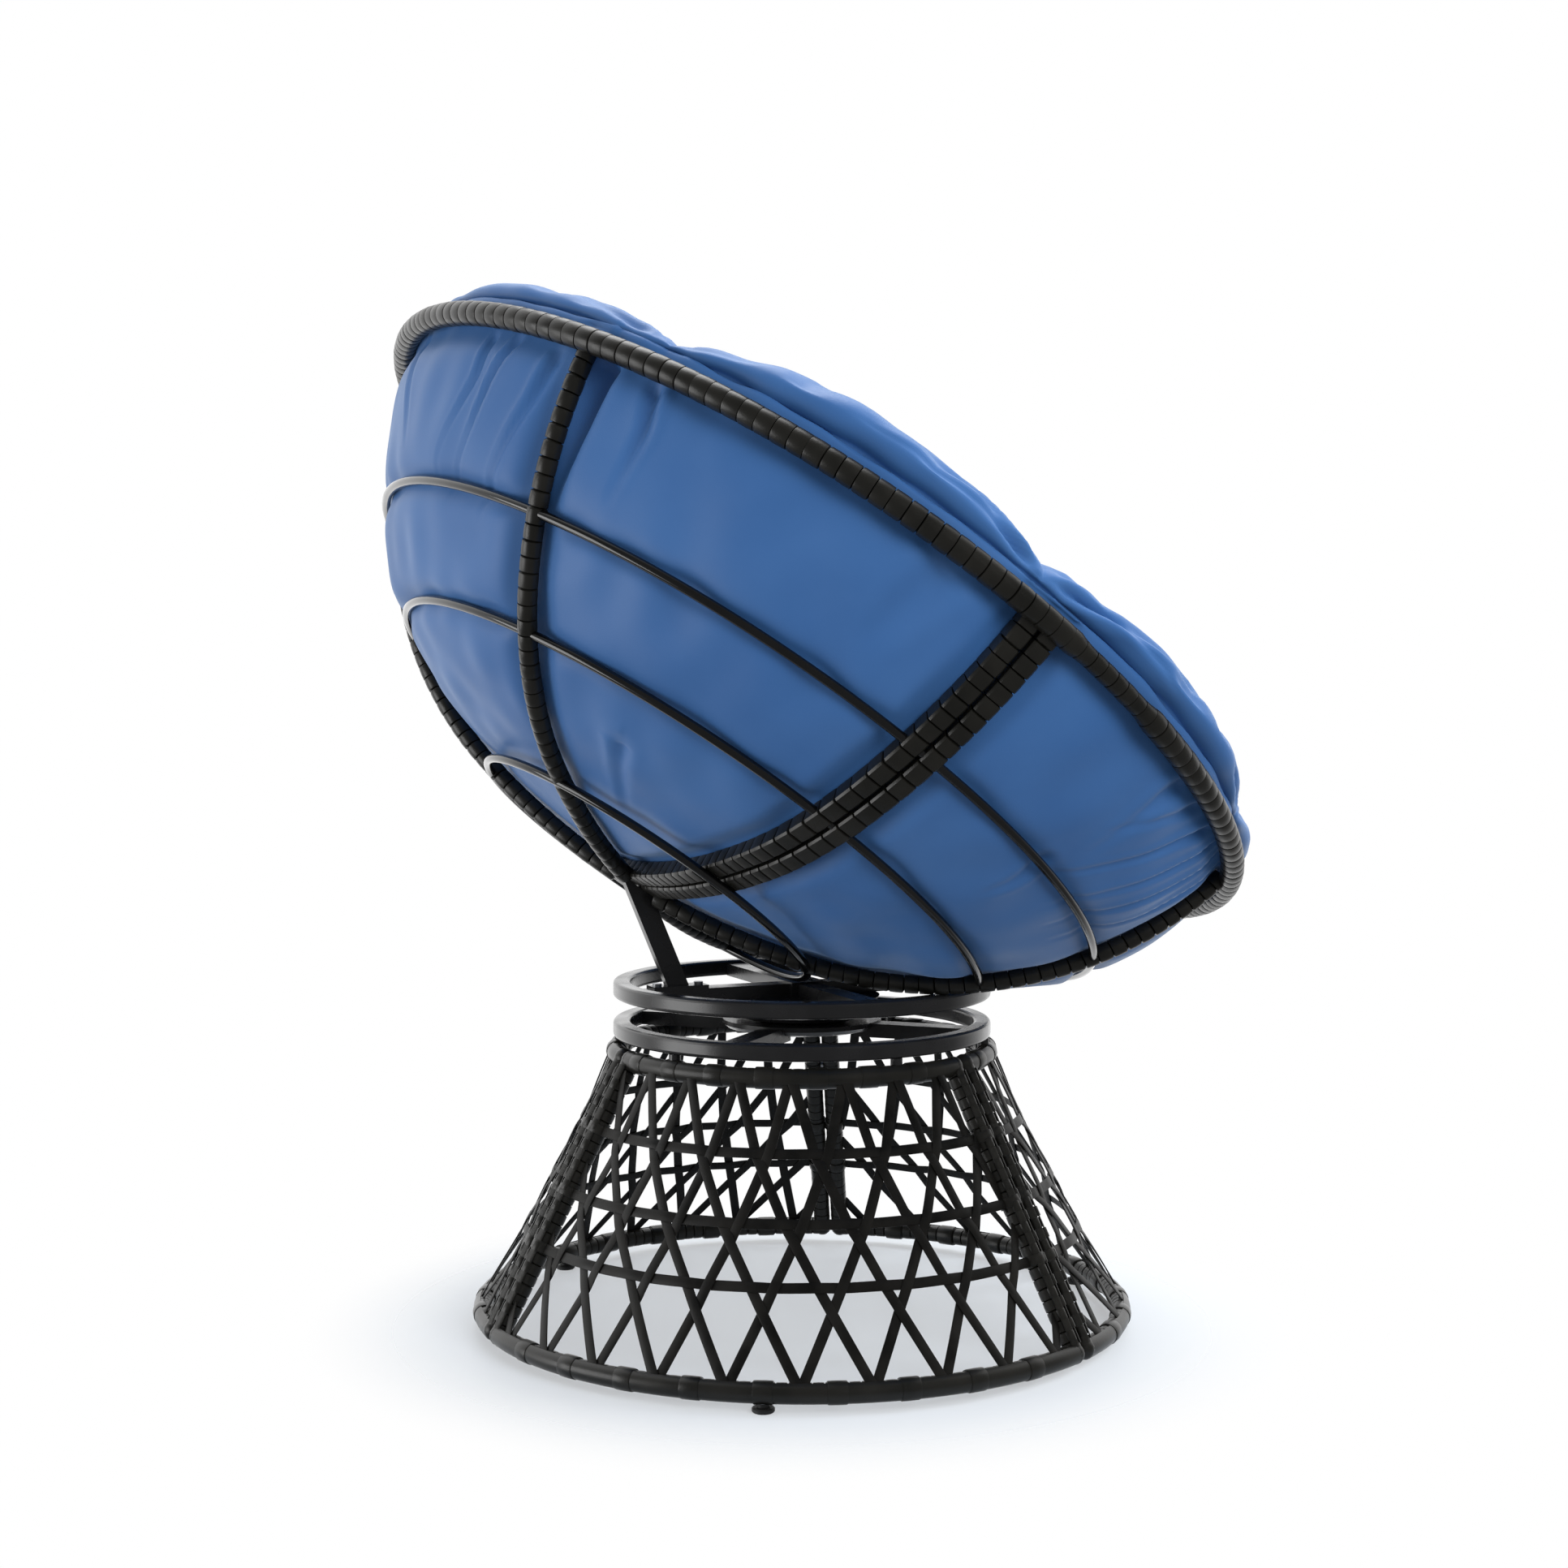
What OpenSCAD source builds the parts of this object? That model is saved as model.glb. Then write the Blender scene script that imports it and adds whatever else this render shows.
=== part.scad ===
// Swivel lounge chair in millimetres: a round woven base in three panels, a ball bearing turntable
// and a tilted bowl of round rods that holds a loose round cushion.
// The sitter faces -Y, +Z is up, and the origin is where the swivel axis meets the floor.
// Left and right are the sitter's own: left is +X.

/* [Base frame] */
// Centre line radius of the bottom rail
rail_r = 280; // [270:1:300]
// Height of the bottom rail's centre line
rail_z = 15; // [14:0.5:18]
// Centre line radius of the top rail
top_rail_r = 163; // [160:0.5:166]
// Height of the top rail's centre line
top_rail_z = 238; // [225:1:260]
// Diameter of the wrapped rails and legs
tube_d = 16; // [14:0.5:17]
// Gap between the two legs where panels meet
leg_gap = 1.4; // [1:0.1:3]
// Extra radius of the wrapped corners over the tubes
knuckle_lift = 0.4; // [0.3:0.1:0.6]
// Number of panels round the base
panels = 3; // [3]
// Polar angle of the first panel's middle
panel_turn = 30; // [30]
// Diameter of the studs that tie neighbouring legs
leg_stud_d = 6; // [4:0.5:8]
// Height fractions of the leg studs
leg_stud_at = [0.2, 0.8]; // [0.1:0.05:0.9]

/* [Weave] */
// Width of a woven strap
strap_w = 8; // [5:0.5:9]
// Thickness of a woven strap
strap_t = 1.3; // [0.8:0.1:1.6]
// Clearance between the layers of straps
layer_gap = 0.35; // [0.3:0.05:0.6]
// Clearance at the ends of the straps
strap_end_gap = 0.1; // [0.05:0.05:0.3]
// Angle between strap pairs on the bottom rail
low_pair_angle = 11.65; // [11:0.05:12.5]
// Angle between strap pairs on the top rail
high_pair_angle = 15; // [14:0.1:16]
// Turn of the top pairs against the panel's middle
skew_angle = 3; // [0:0.5:5]
// How many pairs a strap steps sideways on its way down
strap_step = 2; // [2]
// Height fractions of the level bands
band_at = [0.31, 0.54, 0.76]; // [0.2:0.01:0.9]

/* [Feet] */
// Diameter of a foot's pad
pad_d = 18; // [14:1:24]
// Thickness of a foot's pad
pad_h = 4; // [3:0.5:5]
// Diameter of a foot's neck
neck_d = 10; // [8:0.5:12]
// Diameter of a foot's threaded stem
stem_d = 6; // [4:0.5:6]
// Outer diameter of the threaded insert in the rail
insert_d = 10; // [9:0.5:11]
// How far a foot screws out
foot_travel = 8; // [4:1:8]
// Least length of a foot's stem that stays in the rail
stem_hold = 4.5; // [3:0.5:5]

/* [Turntable] */
// How far both flat rings reach beyond the top rail's centre line
ring_out = 3; // [0:0.5:6]
// Width of the rings' section
ring_w = 15; // [12:1:18]
// Height of the rings' section
ring_h = 14; // [12:1:18]
// Corner radius of the rings' section
ring_corner = 3; // [1:0.5:4]
// Height of the spacers between the top rail and the lower ring
spacer_h = 5.5; // [3:0.5:10]
// Diameter of the spacers
spacer_d = 10; // [8:0.5:11]
// Diameter of the ring screws
ring_screw_d = 5; // [4:0.5:6]
// Head diameter of the ring screws
ring_screw_head_d = 9; // [8:0.5:10]
// Angle of the ring screws from each panel's middle
ring_screw_angle = 35; // [20:1:45]
// Gap between the lower and the upper ring
ring_gap = 20.5; // [19:0.5:30]
// Outer radius of the turntable's fixed cup
cup_r = 70; // [68:1:76]
// Height of the cup
cup_h = 9.5; // [9:0.5:11]
// Number of lower arms
low_arms = 4; // [3:1:6]
// Polar angle of the first lower arm
low_arm_turn = 45; // [0:1:90]
// Width of the lower arms
low_arm_w = 20; // [12:1:30]
// Height of the lower arms
low_arm_h = 12; // [8:1:14]
// Diameter of the centre bolt
bolt_d = 12; // [10:1:16]
// Head diameter of the centre bolt
bolt_head_d = 19; // [18:1:22]
// Head height of the centre bolt
bolt_head_h = 7.5; // [5:0.5:9]
// Radius of the ball circle
ball_circle_r = 40; // [36:1:44]
// Diameter of the balls
ball_d = 8; // [6:0.5:8.5]
// Number of balls
balls = 14; // [8:1:18]
// Radius of the lower race's foot
race_foot_r = 34; // [25:1:45]
// Radius of the lower race
race_r = 52; // [50:0.5:52.5]
// Gap between the two races
race_gap = 1; // [0.8:0.1:1.4]
// Thickness of the ball cage
cage_t = 0.6; // [0.4:0.1:0.6]
// Width of the ball cage
cage_w = 14; // [12:1:16]
// Top diameter of the turntable's dish
dish_d = 137; // [130:1:145]
// Bottom diameter of the turntable's dish
dish_low_d = 115; // [114:1:120]
// Wall of the dish's skirt
skirt_t = 3.3; // [2:0.1:3.5]
// Gap between the dish's skirt and the cup's top
skirt_gap = 2.5; // [1.5:0.5:4]
// Side of the square hub block
hub_block_w = 33; // [28:1:45]
// How far the hub block's top lies below the upper ring's
hub_block_drop = 1.5; // [1:0.5:2.5]
// Width of the upper arms
arm_w = 20; // [14:1:26]
// Height of the upper arms
arm_h = 11; // [8:0.5:13]
// Width across the flats of the lock nut
nut_af = 19; // [18:1:24]
// Height of the lock nut
nut_h = 5; // [4:0.5:6]
// Outer diameter of the thrust washer
washer_d = 24; // [20:1:26]
// Thickness of the thrust washer
washer_t = 1.2; // [0.8:0.1:1.5]

/* [Bowl] */
// Backward tilt of the bowl's rim
tilt = 36.4; // [34:0.2:38]
// How far the rim's middle lies ahead of the swivel axis
bowl_forward = 4; // [0:1:8]
// Centre line radius of the rim
rim_r = 423; // [400:1:450]
// Diameter of the wrapped rim
rim_d = 19; // [17:0.5:20]
// How deep the ends of the ribs reach into the rim
rib_bite = 2; // [1:0.5:3]
// Diameter of the single ribs
rib_d = 15; // [14:0.5:16]
// Depth of the single ribs' centre line below the rim plane
rib_depth = 268; // [267:0.5:269]
// Bend radius of the ribs' flat middle
rib_flat_r = 650; // [640:5:660]
// Angle at which the ribs' flat middle ends
rib_flat_angle = 15.7; // [15:0.1:16.4]
// Angle of the rear ribs from the left side
rear_rib_angle = 56; // [50:1:62]
// Side of the square tubes of the double side rib
twin_w = 16; // [14:0.5:17]
// Gap between the two tubes of the double side rib
twin_gap = 3; // [1:0.5:4]
// How far the double rib's bottom lies above the single ribs'
twin_rise = 8; // [7:0.5:9]
// How much tighter the double rib's flat middle is bent than the single ribs'
twin_tighter = 10; // [5:1:15]
// Angle at which the double rib's flat middle ends
twin_flat_angle = 20; // [19.5:0.1:20.5]
// Bend radius of the double rib's shoulders as a share of the single ribs' sides
twin_shoulder_share = 0.82; // [0.8:0.005:0.84]
// Angle at which the double rib's shoulders end
twin_shoulder_angle = 37; // [36:0.5:38]
// Diameter of the hoops
hoop_d = 7.5; // [6:0.5:8]
// Radii of the outer, middle and inner hoop as shares of the rim's
hoop_share = [0.8534, 0.6915, 0.3865]; // [0.38:0.0005:0.86]
// How far the outer and the middle hoop's centre lines lie outside the double rib's
hoop_out = 3; // [2:0.1:3.2]
// Diameter of the two screws that hold the bowl on the upper ring
bowl_screw_d = 5; // [4:0.5:6]

/* [Stay] */
// Width of the stay's bar, front to back
stay_w = 18; // [12:1:22]
// Thickness of the stay's bar
stay_t = 9; // [6:0.5:12]
// How far the stay's foot stands inside the upper ring
stay_inset = 34; // [32:0.5:36]
// Length of the stay's foot plate
stay_plate_l = 50; // [48:1:54]
// Thickness of the stay's foot plate
stay_plate_t = 3; // [2:0.5:3]
// Diameter of the stay's screws
stay_screw_d = 5; // [4:0.5:6]

/* [Cushion] */
// How far the cushion's side stays inside the rim's centre line
cushion_inset = 3; // [0:1:8]
// Height of the seam above the rim plane
seam_z = 20; // [18:1:30]
// How far the sides are drawn in at the seam
seam_draw = 5; // [2:0.5:8]
// Height of the crown above the rim plane
crown_z = 52; // [44:1:60]
// How far the crown lies inside the cushion's side
crown_inset = 48; // [40:1:60]
// Depth of the seat's middle below the rim plane
dish_depth = 138; // [120:1:150]
// Number of lobes
lobes = 8; // [8]
// Depth of the channels between the lobes
channel_depth = 14; // [4:1:16]
// Depth of the tuft in the middle
tuft_depth = 9; // [3:1:12]
// Clearance between the cushion and the frame
cushion_gap = 0.6; // [0.4:0.1:2]

/* [Hidden] */
// Clearance between pieces that are fixed together
seat_gap = 0.02;
// Radial clearance of running fits
run_gap = 0.05;
// Clearance of rods in their tunnels
tunnel_gap = 0.3;
// Clearance between the ribs and what they rest on
rest_gap = 0.2;
// Length added to cutting tools so that they pass through
through = 5;
// Where two arcs of a wrapped tube meet, one wrap laps over the other by this much width and angle
lap_lift = 0.1;
lap_angle = 0.3;
$fn = 64;

tube_r = tube_d / 2;
leg_offset = (tube_d + leg_gap) / 2;
panel_angle = 360 / panels;
panel_drop = top_rail_z - rail_z;
panel_inset = rail_r - top_rail_r;
panel_len = norm([panel_inset, panel_drop]);
ring_r = top_rail_r + ring_out;
ring_mid_r = ring_r - ring_w / 2;
ring_in_r = ring_r - ring_w;
low_ring_z = top_rail_z + tube_r + spacer_h;
hub_top = low_ring_z + ring_h;
up_ring_z = hub_top + ring_gap;
ring_top = up_ring_z + ring_h;
arm_top = up_ring_z + arm_h;
ring_screw_r = (top_rail_r + ring_mid_r) / 2;
ring_screw_head_z = top_rail_z - tube_r / 2;
ring_screw_end = low_ring_z + ring_h * 0.7;
ball_z = hub_top + ball_d + race_gap / 2;
race_top = ball_z - race_gap / 2;
race_under = ball_z + race_gap / 2;
hub_block_top = ring_top - hub_block_drop;
bolt_head_z = hub_block_top - bolt_head_h - 0.5;
cup_under = hub_top - cup_h;
nut_top = cup_under + nut_h + 0.5;
recess_top = nut_top + washer_t + 2 * run_gap;
nut_r = nut_af / 2 / cos(30);

// Centres of the arcs of the rib profiles, in the bowl's own (radius, height) plane
rib_end = [rim_r - rim_d / 2 + rib_bite, 0];
rib_c1 = [0, rib_flat_r - rib_depth];
rib_side_r = closing_radius(rib_c1, rib_flat_r, rib_flat_angle);
rib_c2 = next_centre(rib_c1, rib_flat_r, rib_side_r, rib_flat_angle);
rib_end_angle = acos(rib_c2[1] / rib_side_r);
twin_depth = rib_depth - twin_rise;
twin_flat_r = rib_flat_r - twin_tighter;
twin_shoulder_r = twin_shoulder_share * rib_side_r;
twin_c1 = [0, twin_flat_r - twin_depth];
twin_c2 = next_centre(twin_c1, twin_flat_r, twin_shoulder_r, twin_flat_angle);
twin_side_r = closing_radius(twin_c2, twin_shoulder_r, twin_shoulder_angle);
twin_c3 = next_centre(twin_c2, twin_shoulder_r, twin_side_r, twin_shoulder_angle);
twin_end_angle = acos(twin_c3[1] / twin_side_r);
twin_offset = (twin_w + twin_gap) / 2;
twin_half = twin_offset + twin_w / 2;
rib_angles = [rear_rib_angle, 180 - rear_rib_angle, 180 + rear_rib_angle, -rear_rib_angle];
front_rib_angle = rib_angles[2];
hoop_r = [for (share = hoop_share) share * rim_r];
hoop_rest = twin_w / 2 + hoop_d / 2 + 2 * rest_gap;
hoop_z = [for (i = [0:len(hoop_r) - 1]) twin_outside(hoop_r[i], i < 2 ? hoop_out : hoop_rest)];
hoop_low = hoop_z[2] * cos(tilt) - hoop_r[2] * sin(tilt) - hoop_d / 2;
bowl_z = rest_gap + max(ring_top + rib_d / 2 - lowest_over_ring(), hub_block_top - hoop_low);
bowl_screw_t = crossing(ring_mid_r, rib_flat_angle, 60);
bowl_screw_at = in_chair(rib_point(bowl_screw_t, front_rib_angle));
twin_pole = in_chair([0, 0, -twin_depth - twin_w / 2]);
stay_foot_y = ring_in_r - stay_inset;
stay_lean = atan2(twin_pole[1] - stay_foot_y, twin_pole[2] - arm_top);

// Straps that cross a panel, by the number of the pair on the top rail where each ends or would end
strap_numbers = [-9:1:9];
strap_bits = 6;

cushion_r = rim_r - cushion_inset;
crown_r = cushion_r - crown_inset;

// The cushion's mesh
columns = 48;
cushion_side = twin_w / 2 + cushion_gap;
crown_rings = 4;
top_rings = 9;

// Centre of the arc that goes on smoothly from one of radius ra about c, at the angle t
function next_centre(c, ra, rb, t) = c + (ra - rb) * [sin(t), -cos(t)];

// Radius of the arc that goes on smoothly from one of radius r about c, at the angle t, to the ribs' end
function closing_radius(c, r, t) =
  let (d = rib_end - c - r * [sin(t), -cos(t)])
  (d * d) / (2 * (d * [-sin(t), cos(t)]));

// Point of a single rib's centre line at the angle t, in the bowl's frame
function rib_point(t, u) =
  let (c = t < rib_flat_angle ? rib_c1 : rib_c2, r = t < rib_flat_angle ? rib_flat_r : rib_side_r)
  let (out = c[0] + r * sin(t))
  [out * cos(u), out * sin(u), c[1] - r * cos(t)];

// Height, in the bowl's frame, of a circle of radius r that lies d outside the double rib's centre line
function twin_outside(r, d) =
  let (flat_end = (twin_flat_r + d) * sin(twin_flat_angle))
  let (shoulder_end = twin_c2[0] + (twin_shoulder_r + d) * sin(twin_shoulder_angle))
  let (c = r < flat_end ? twin_c1 : r < shoulder_end ? twin_c2 : twin_c3)
  let (bend = r < flat_end ? twin_flat_r : r < shoulder_end ? twin_shoulder_r : twin_side_r)
  c[1] - sqrt(pow(bend + d, 2) - pow(r - c[0], 2));

// Turns a point of the bowl's frame into the chair's, first without the bowl's height
function tilted(p) = [
  p[0],
  p[1] * cos(tilt) - p[2] * sin(tilt) - bowl_forward,
  p[1] * sin(tilt) + p[2] * cos(tilt)
];
function in_chair(p) = tilted(p) + [0, 0, bowl_z];

// Distance of a front rib's centre line from the swivel axis at the angle t
function rib_reach(t) =
  let (p = tilted(rib_point(t, front_rib_angle)))
  norm([p[0], p[1]]);

// Lowest height, before the bowl is raised, of a front rib's centre line over the upper ring
function lowest_over_ring() = min([
  for (t = [0:0.2:60])
    if (rib_reach(t) > ring_in_r && rib_reach(t) < ring_r)
      tilted(rib_point(t, front_rib_angle))[2]
]);

// Angle on a front rib where it lies at the distance r from the swivel axis
function crossing(r, a, b, n = 30) =
  let (m = (a + b) / 2)
  n == 0 ? m : rib_reach(m) < r ? crossing(r, m, b, n - 1) : crossing(r, a, m, n - 1);

// Radius and height of the panel surface at the height fraction f, d outside its middle layer
function panel_out(f, d) = [
  rail_r - panel_inset * f + d * panel_drop / panel_len,
  rail_z + panel_drop * f + d * panel_inset / panel_len
];

function polar(p, angle) = [p[0] * cos(angle), p[0] * sin(angle), p[1]];

// Half the angle of a panel that lies free between its legs at the height fraction f
function free_angle(f) =
  panel_angle / 2 - asin((leg_offset + tube_r + strap_end_gap) / panel_out(f, 0)[0]);

// Angle from the panel's middle of strap k at f; way is 1 for straps that step right going down
function strap_angle(k, way, f) =
  (high_pair_angle * k + skew_angle) * f + low_pair_angle * (k + way * strap_step + 0.5) * (1 - f);

// Half the width of a strap, as an angle at the height fraction f
function strap_half(k, way, f) =
  let (run = (strap_angle(k, way, 0) - strap_angle(k, way, 1)) * PI / 180 * panel_out(0.5, 0)[0])
  strap_w / 2 / cos(atan(run / panel_len)) / panel_out(f, 0)[0] * 180 / PI;

function edge_angle(k, way, edge, f) = strap_angle(k, way, f) + edge * strap_half(k, way, f);
function edge_free(k, way, edge, f) = abs(edge_angle(k, way, edge, f)) < free_angle(f);

// Height fraction between a, where the edge is free, and b, where it isn't, at which it meets a leg
function meets_leg(k, way, edge, a, b, n = 24) =
  let (m = (a + b) / 2)
  n == 0 ? a : edge_free(k, way, edge, m)
    ? meets_leg(k, way, edge, m, b, n - 1)
    : meets_leg(k, way, edge, a, m, n - 1);

// Lowest and highest height fraction of a strap's edge, or undef where no stretch of it is free
function edge_span(k, way, edge) =
  let (low = (tube_r + strap_end_gap) / panel_len, high = 1 - low)
  let (at_low = edge_free(k, way, edge, low), at_high = edge_free(k, way, edge, high))
  !at_low && !at_high ? undef : [
    at_low ? low : meets_leg(k, way, edge, high, low),
    at_high ? high : meets_leg(k, way, edge, low, high)
  ];

// Four corners of a strap's section between the two edge points at the fraction s of its length
function strap_section(k, way, spans, s, d) = [
  for (corner = [[0, -1], [0, 1], [1, 1], [1, -1]])
    let (edge = corner[0] * 2 - 1, span = spans[corner[0]])
    let (f = span[0] + (span[1] - span[0]) * s)
    polar(panel_out(f, d + corner[1] * strap_t / 2), edge_angle(k, way, edge, f))
];

// Triangles of the band between each two of the rings of n points, one after the other
function band_faces(rings, n) = [
  for (i = [0:rings - 2], j = [0:n - 1], half = [0, 1])
    let (a = i * n + j, b = i * n + (j + 1) % n)
    half == 0 ? [a, a + n, b] : [b, a + n, b + n]
];

// Triangles of a strap's skin: the bands and a fan over each end
function strap_faces(rings, n) = concat(
  band_faces(rings, n),
  [for (j = [1:n - 2]) [0, j, j + 1]],
  [for (j = [1:n - 2]) [(rings - 1) * n, (rings - 1) * n + j + 1, (rings - 1) * n + j]]
);

// Height of the cushion's top over the rim plane at the fraction s of the way out to the crown
function lobe(u) = pow(abs(sin(lobes * u / 2)), 0.6);
function cushion_top(s, u) =
  -dish_depth + (dish_depth + crown_z) * s * s * (3 - 2 * s)
  - channel_depth * (1 - lobe(u)) * min(1, s * 4)
  - tuft_depth * exp(-pow(s * crown_r / 24, 2));

// One line of the cushion's skin, from its bottom to its middle on top, as (radius, height) points
function cushion_line(u) =
  let (draw = channel_depth * 0.3 * (1 - lobe(u)), flat_r = twin_flat_r - cushion_side)
  let (shoulder_r = twin_shoulder_r - cushion_side, side_r = twin_side_r - cushion_side)
  let (edge_z = cushion_top(1, u), lap = cushion_r - draw)
  concat(
    [for (i = [1:3]) let (t = twin_flat_angle * i / 3) twin_c1 + flat_r * [sin(t), -cos(t)]],
    [for (i = [1:2])
      let (t = twin_flat_angle + (twin_shoulder_angle - twin_flat_angle) * i / 2)
      twin_c2 + shoulder_r * [sin(t), -cos(t)]],
    [for (i = [1:4])
      let (t = twin_shoulder_angle + (twin_end_angle - twin_shoulder_angle) * i / 4)
      twin_c3 + side_r * [sin(t), -cos(t)]],
    [[lap - 4, rim_d / 2 + 3], [lap, seam_z - 6], [lap - seam_draw, seam_z]],
    [for (i = [1:crown_rings])
      let (a = 90 * i / crown_rings)
      [crown_r + (lap - crown_r) * cos(a), seam_z + (edge_z - seam_z) * sin(a)]],
    [for (i = [1:top_rings])
      let (s = 1 - i / (top_rings + 1))
      [crown_r * s, cushion_top(s, u)]]
  );

// Keeps a point of the cushion's underside above the upper ring and the arms
function above_ring(p) =
  let (least = (ring_top + cushion_gap - bowl_z - p[1] * sin(tilt)) / cos(tilt))
  [p[0], p[1], max(p[2], least)];

module shade_steel() { color([0.13, 0.13, 0.14]) children(); }
module shade_wrap() { color([0.1, 0.1, 0.1]) children(); }
module shade_strap() { color([0.16, 0.15, 0.14]) children(); }
module shade_bright() { color([0.62, 0.63, 0.65]) children(); }
module shade_cloth() { color([0.27, 0.44, 0.66]) children(); }

module each_panel() {
  for (i = [0:panels - 1])
    rotate([0, 0, panel_turn + panel_angle * i]) children();
}

// Places what is made round the pole of a horizontal bowl into the tilted bowl
module bowl() {
  translate([0, -bowl_forward, bowl_z]) rotate([tilt, 0, 0]) children();
}

module torus(r, d, z = 0) {
  rotate_extrude() translate([r, z]) circle(d = d, $fn = 32);
}

module tube(outer, inner, h) {
  difference() {
    cylinder(h = h, d = outer);
    translate([0, 0, -through]) cylinder(h = h + 2 * through, d = inner);
  }
}

// Section of a ring, with the corners rounded
module ring_section() {
  steps = 3;
  polygon([
    for (corner = [[1, 1, 0], [-1, 1, 90], [-1, -1, 180], [1, -1, 270]], i = [0:steps])
      let (a = corner[2] + 90 * i / steps)
      [
        ring_mid_r + corner[0] * (ring_w / 2 - ring_corner) + ring_corner * cos(a),
        ring_h / 2 + corner[1] * (ring_h / 2 - ring_corner) + ring_corner * sin(a)
      ]
  ]);
}

// Sweeps a section along an arc in the bowl's (radius, height) plane, at its angle u
module bowl_arc(centre, r, t0, t1, u) {
  rotate([0, 0, u]) translate([centre[0], 0, centre[1]]) rotate([90, 0, 0])
    rotate([0, 0, t0 - 90]) rotate_extrude(angle = t1 - t0, $fn = 180)
      translate([r, 0]) children();
}

module hoop_shape(i, d) {
  torus(hoop_r[i], d, hoop_z[i], $fn = 128);
}

module leg_stud_places() {
  for (f = leg_stud_at)
    let (p = panel_out(f, 0))
    translate([p[0], 0, p[1]]) rotate([90, 0, 0]) children();
}

module ring_screw_places() {
  each_panel() for (side = [-1, 1])
    rotate([0, 0, side * ring_screw_angle]) translate([ring_screw_r, 0, 0]) children();
}

// One panel's frame: two rails, two legs and the wrapped corners, drilled for studs, screws and foot
module panel_frame(i) {
  shade_wrap() rotate([0, 0, panel_turn + panel_angle * i]) difference() {
    union() {
      rail(rail_r, rail_z);
      rail(top_rail_r, top_rail_z);
      for (side = [-1, 1]) rotate([0, 0, side * panel_angle / 2]) leg(side);
    }
    for (side = [-1, 1]) rotate([0, 0, side * panel_angle / 2]) leg_stud_places()
      cylinder(h = 2 * leg_offset + 1, d = leg_stud_d + 2 * seat_gap, center = true);
    for (side = [-1, 1]) rotate([0, 0, side * ring_screw_angle]) translate([ring_screw_r, 0, 0]) {
      translate([0, 0, top_rail_z - tube_d])
        cylinder(h = 2 * tube_d, d = ring_screw_d + 2 * seat_gap);
      translate([0, 0, top_rail_z - tube_d - ring_screw_head_d])
        cylinder(
          h = ring_screw_head_z - top_rail_z + tube_d + ring_screw_head_d,
          d = ring_screw_head_d + 2 * seat_gap
        );
    }
    translate([rail_r, 0, 0]) cylinder(h = rail_z + tube_r - 2, d = insert_d + 2 * seat_gap);
  }
}

module rail(r, z) {
  half = panel_angle / 2 - asin(leg_offset / r);
  rotate([0, 0, -half]) rotate_extrude(angle = 2 * half, $fn = 128) translate([r, z])
    circle(d = tube_d, $fn = 32);
}

// A leg beside the plane in which two panels meet, with a wrapped corner at each end
module leg(side) {
  foot = [sqrt(pow(rail_r, 2) - pow(leg_offset, 2)), -side * leg_offset, rail_z];
  head = [sqrt(pow(top_rail_r, 2) - pow(leg_offset, 2)), -side * leg_offset, top_rail_z];
  way = head - foot;
  translate(foot) rotate([0, atan2(way[0], way[2]), 0]) cylinder(h = norm(way), d = tube_d);
  for (corner = [foot, head]) translate(corner) sphere(r = tube_r + knuckle_lift);
}

// All the straps of a panel that step one way; d is the place of their layer
module straps(i, way, d) {
  shade_strap() rotate([0, 0, panel_turn + panel_angle * i]) for (k = strap_numbers) {
    spans = [edge_span(k, way, -1), edge_span(k, way, 1)];
    if (is_list(spans[0]) && is_list(spans[1]))
      polyhedron(
        [for (s = [0:strap_bits], p = strap_section(k, way, spans, s / strap_bits, d)) p],
        strap_faces(strap_bits + 1, 4)
      );
  }
}

module weave_right(i) { straps(i, 1, strap_t + layer_gap); }
module weave_left(i) { straps(i, -1, -strap_t - layer_gap); }

// The level bands lie between the two layers of slanting straps
module weave_bands(i) {
  lean = atan(panel_inset / panel_drop);
  shade_strap() rotate([0, 0, panel_turn + panel_angle * i]) for (f = band_at) {
    half = free_angle(f - strap_w / 2 / panel_len) - 0.1;
    p = panel_out(f, 0);
    rotate([0, 0, -half]) rotate_extrude(angle = 2 * half, $fn = 128)
      translate(p) rotate([0, 0, lean]) square([strap_t, strap_w], center = true);
  }
}

module leg_studs() {
  shade_bright() rotate([0, 0, panel_angle / 2]) each_panel() leg_stud_places()
    cylinder(h = 2 * leg_offset, d = leg_stud_d, center = true);
}

module foot_inserts() {
  base = rail_z - tube_r + 0.1;
  shade_bright() each_panel() translate([rail_r, 0, base])
    tube(insert_d, stem_d + 2 * run_gap, rail_z + tube_r - 2 - base);
}

module foot(i) {
  soft = 1;
  neck_top = rail_z - tube_r - rest_gap;
  stem_top = rail_z - tube_r + foot_travel + stem_hold;
  color([0.08, 0.08, 0.08]) rotate([0, 0, panel_turn + panel_angle * i]) translate([rail_r, 0, 0])
    rotate_extrude() polygon([
      [0, 0], [pad_d / 2 - soft, 0], [pad_d / 2, soft], [pad_d / 2, pad_h - soft],
      [pad_d / 2 - soft, pad_h], [neck_d / 2, pad_h], [neck_d / 2, neck_top],
      [stem_d / 2, neck_top], [stem_d / 2, stem_top], [0, stem_top]
    ]);
}

// Spacers with their lower ends hollowed to sit on the round rail
module ring_spacers() {
  shade_steel() difference() {
    ring_screw_places() translate([0, 0, top_rail_z])
      tube(spacer_d, ring_screw_d + 2 * seat_gap, low_ring_z - top_rail_z);
    torus(top_rail_r, tube_d + 2 * seat_gap, top_rail_z, $fn = 128);
  }
}

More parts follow.
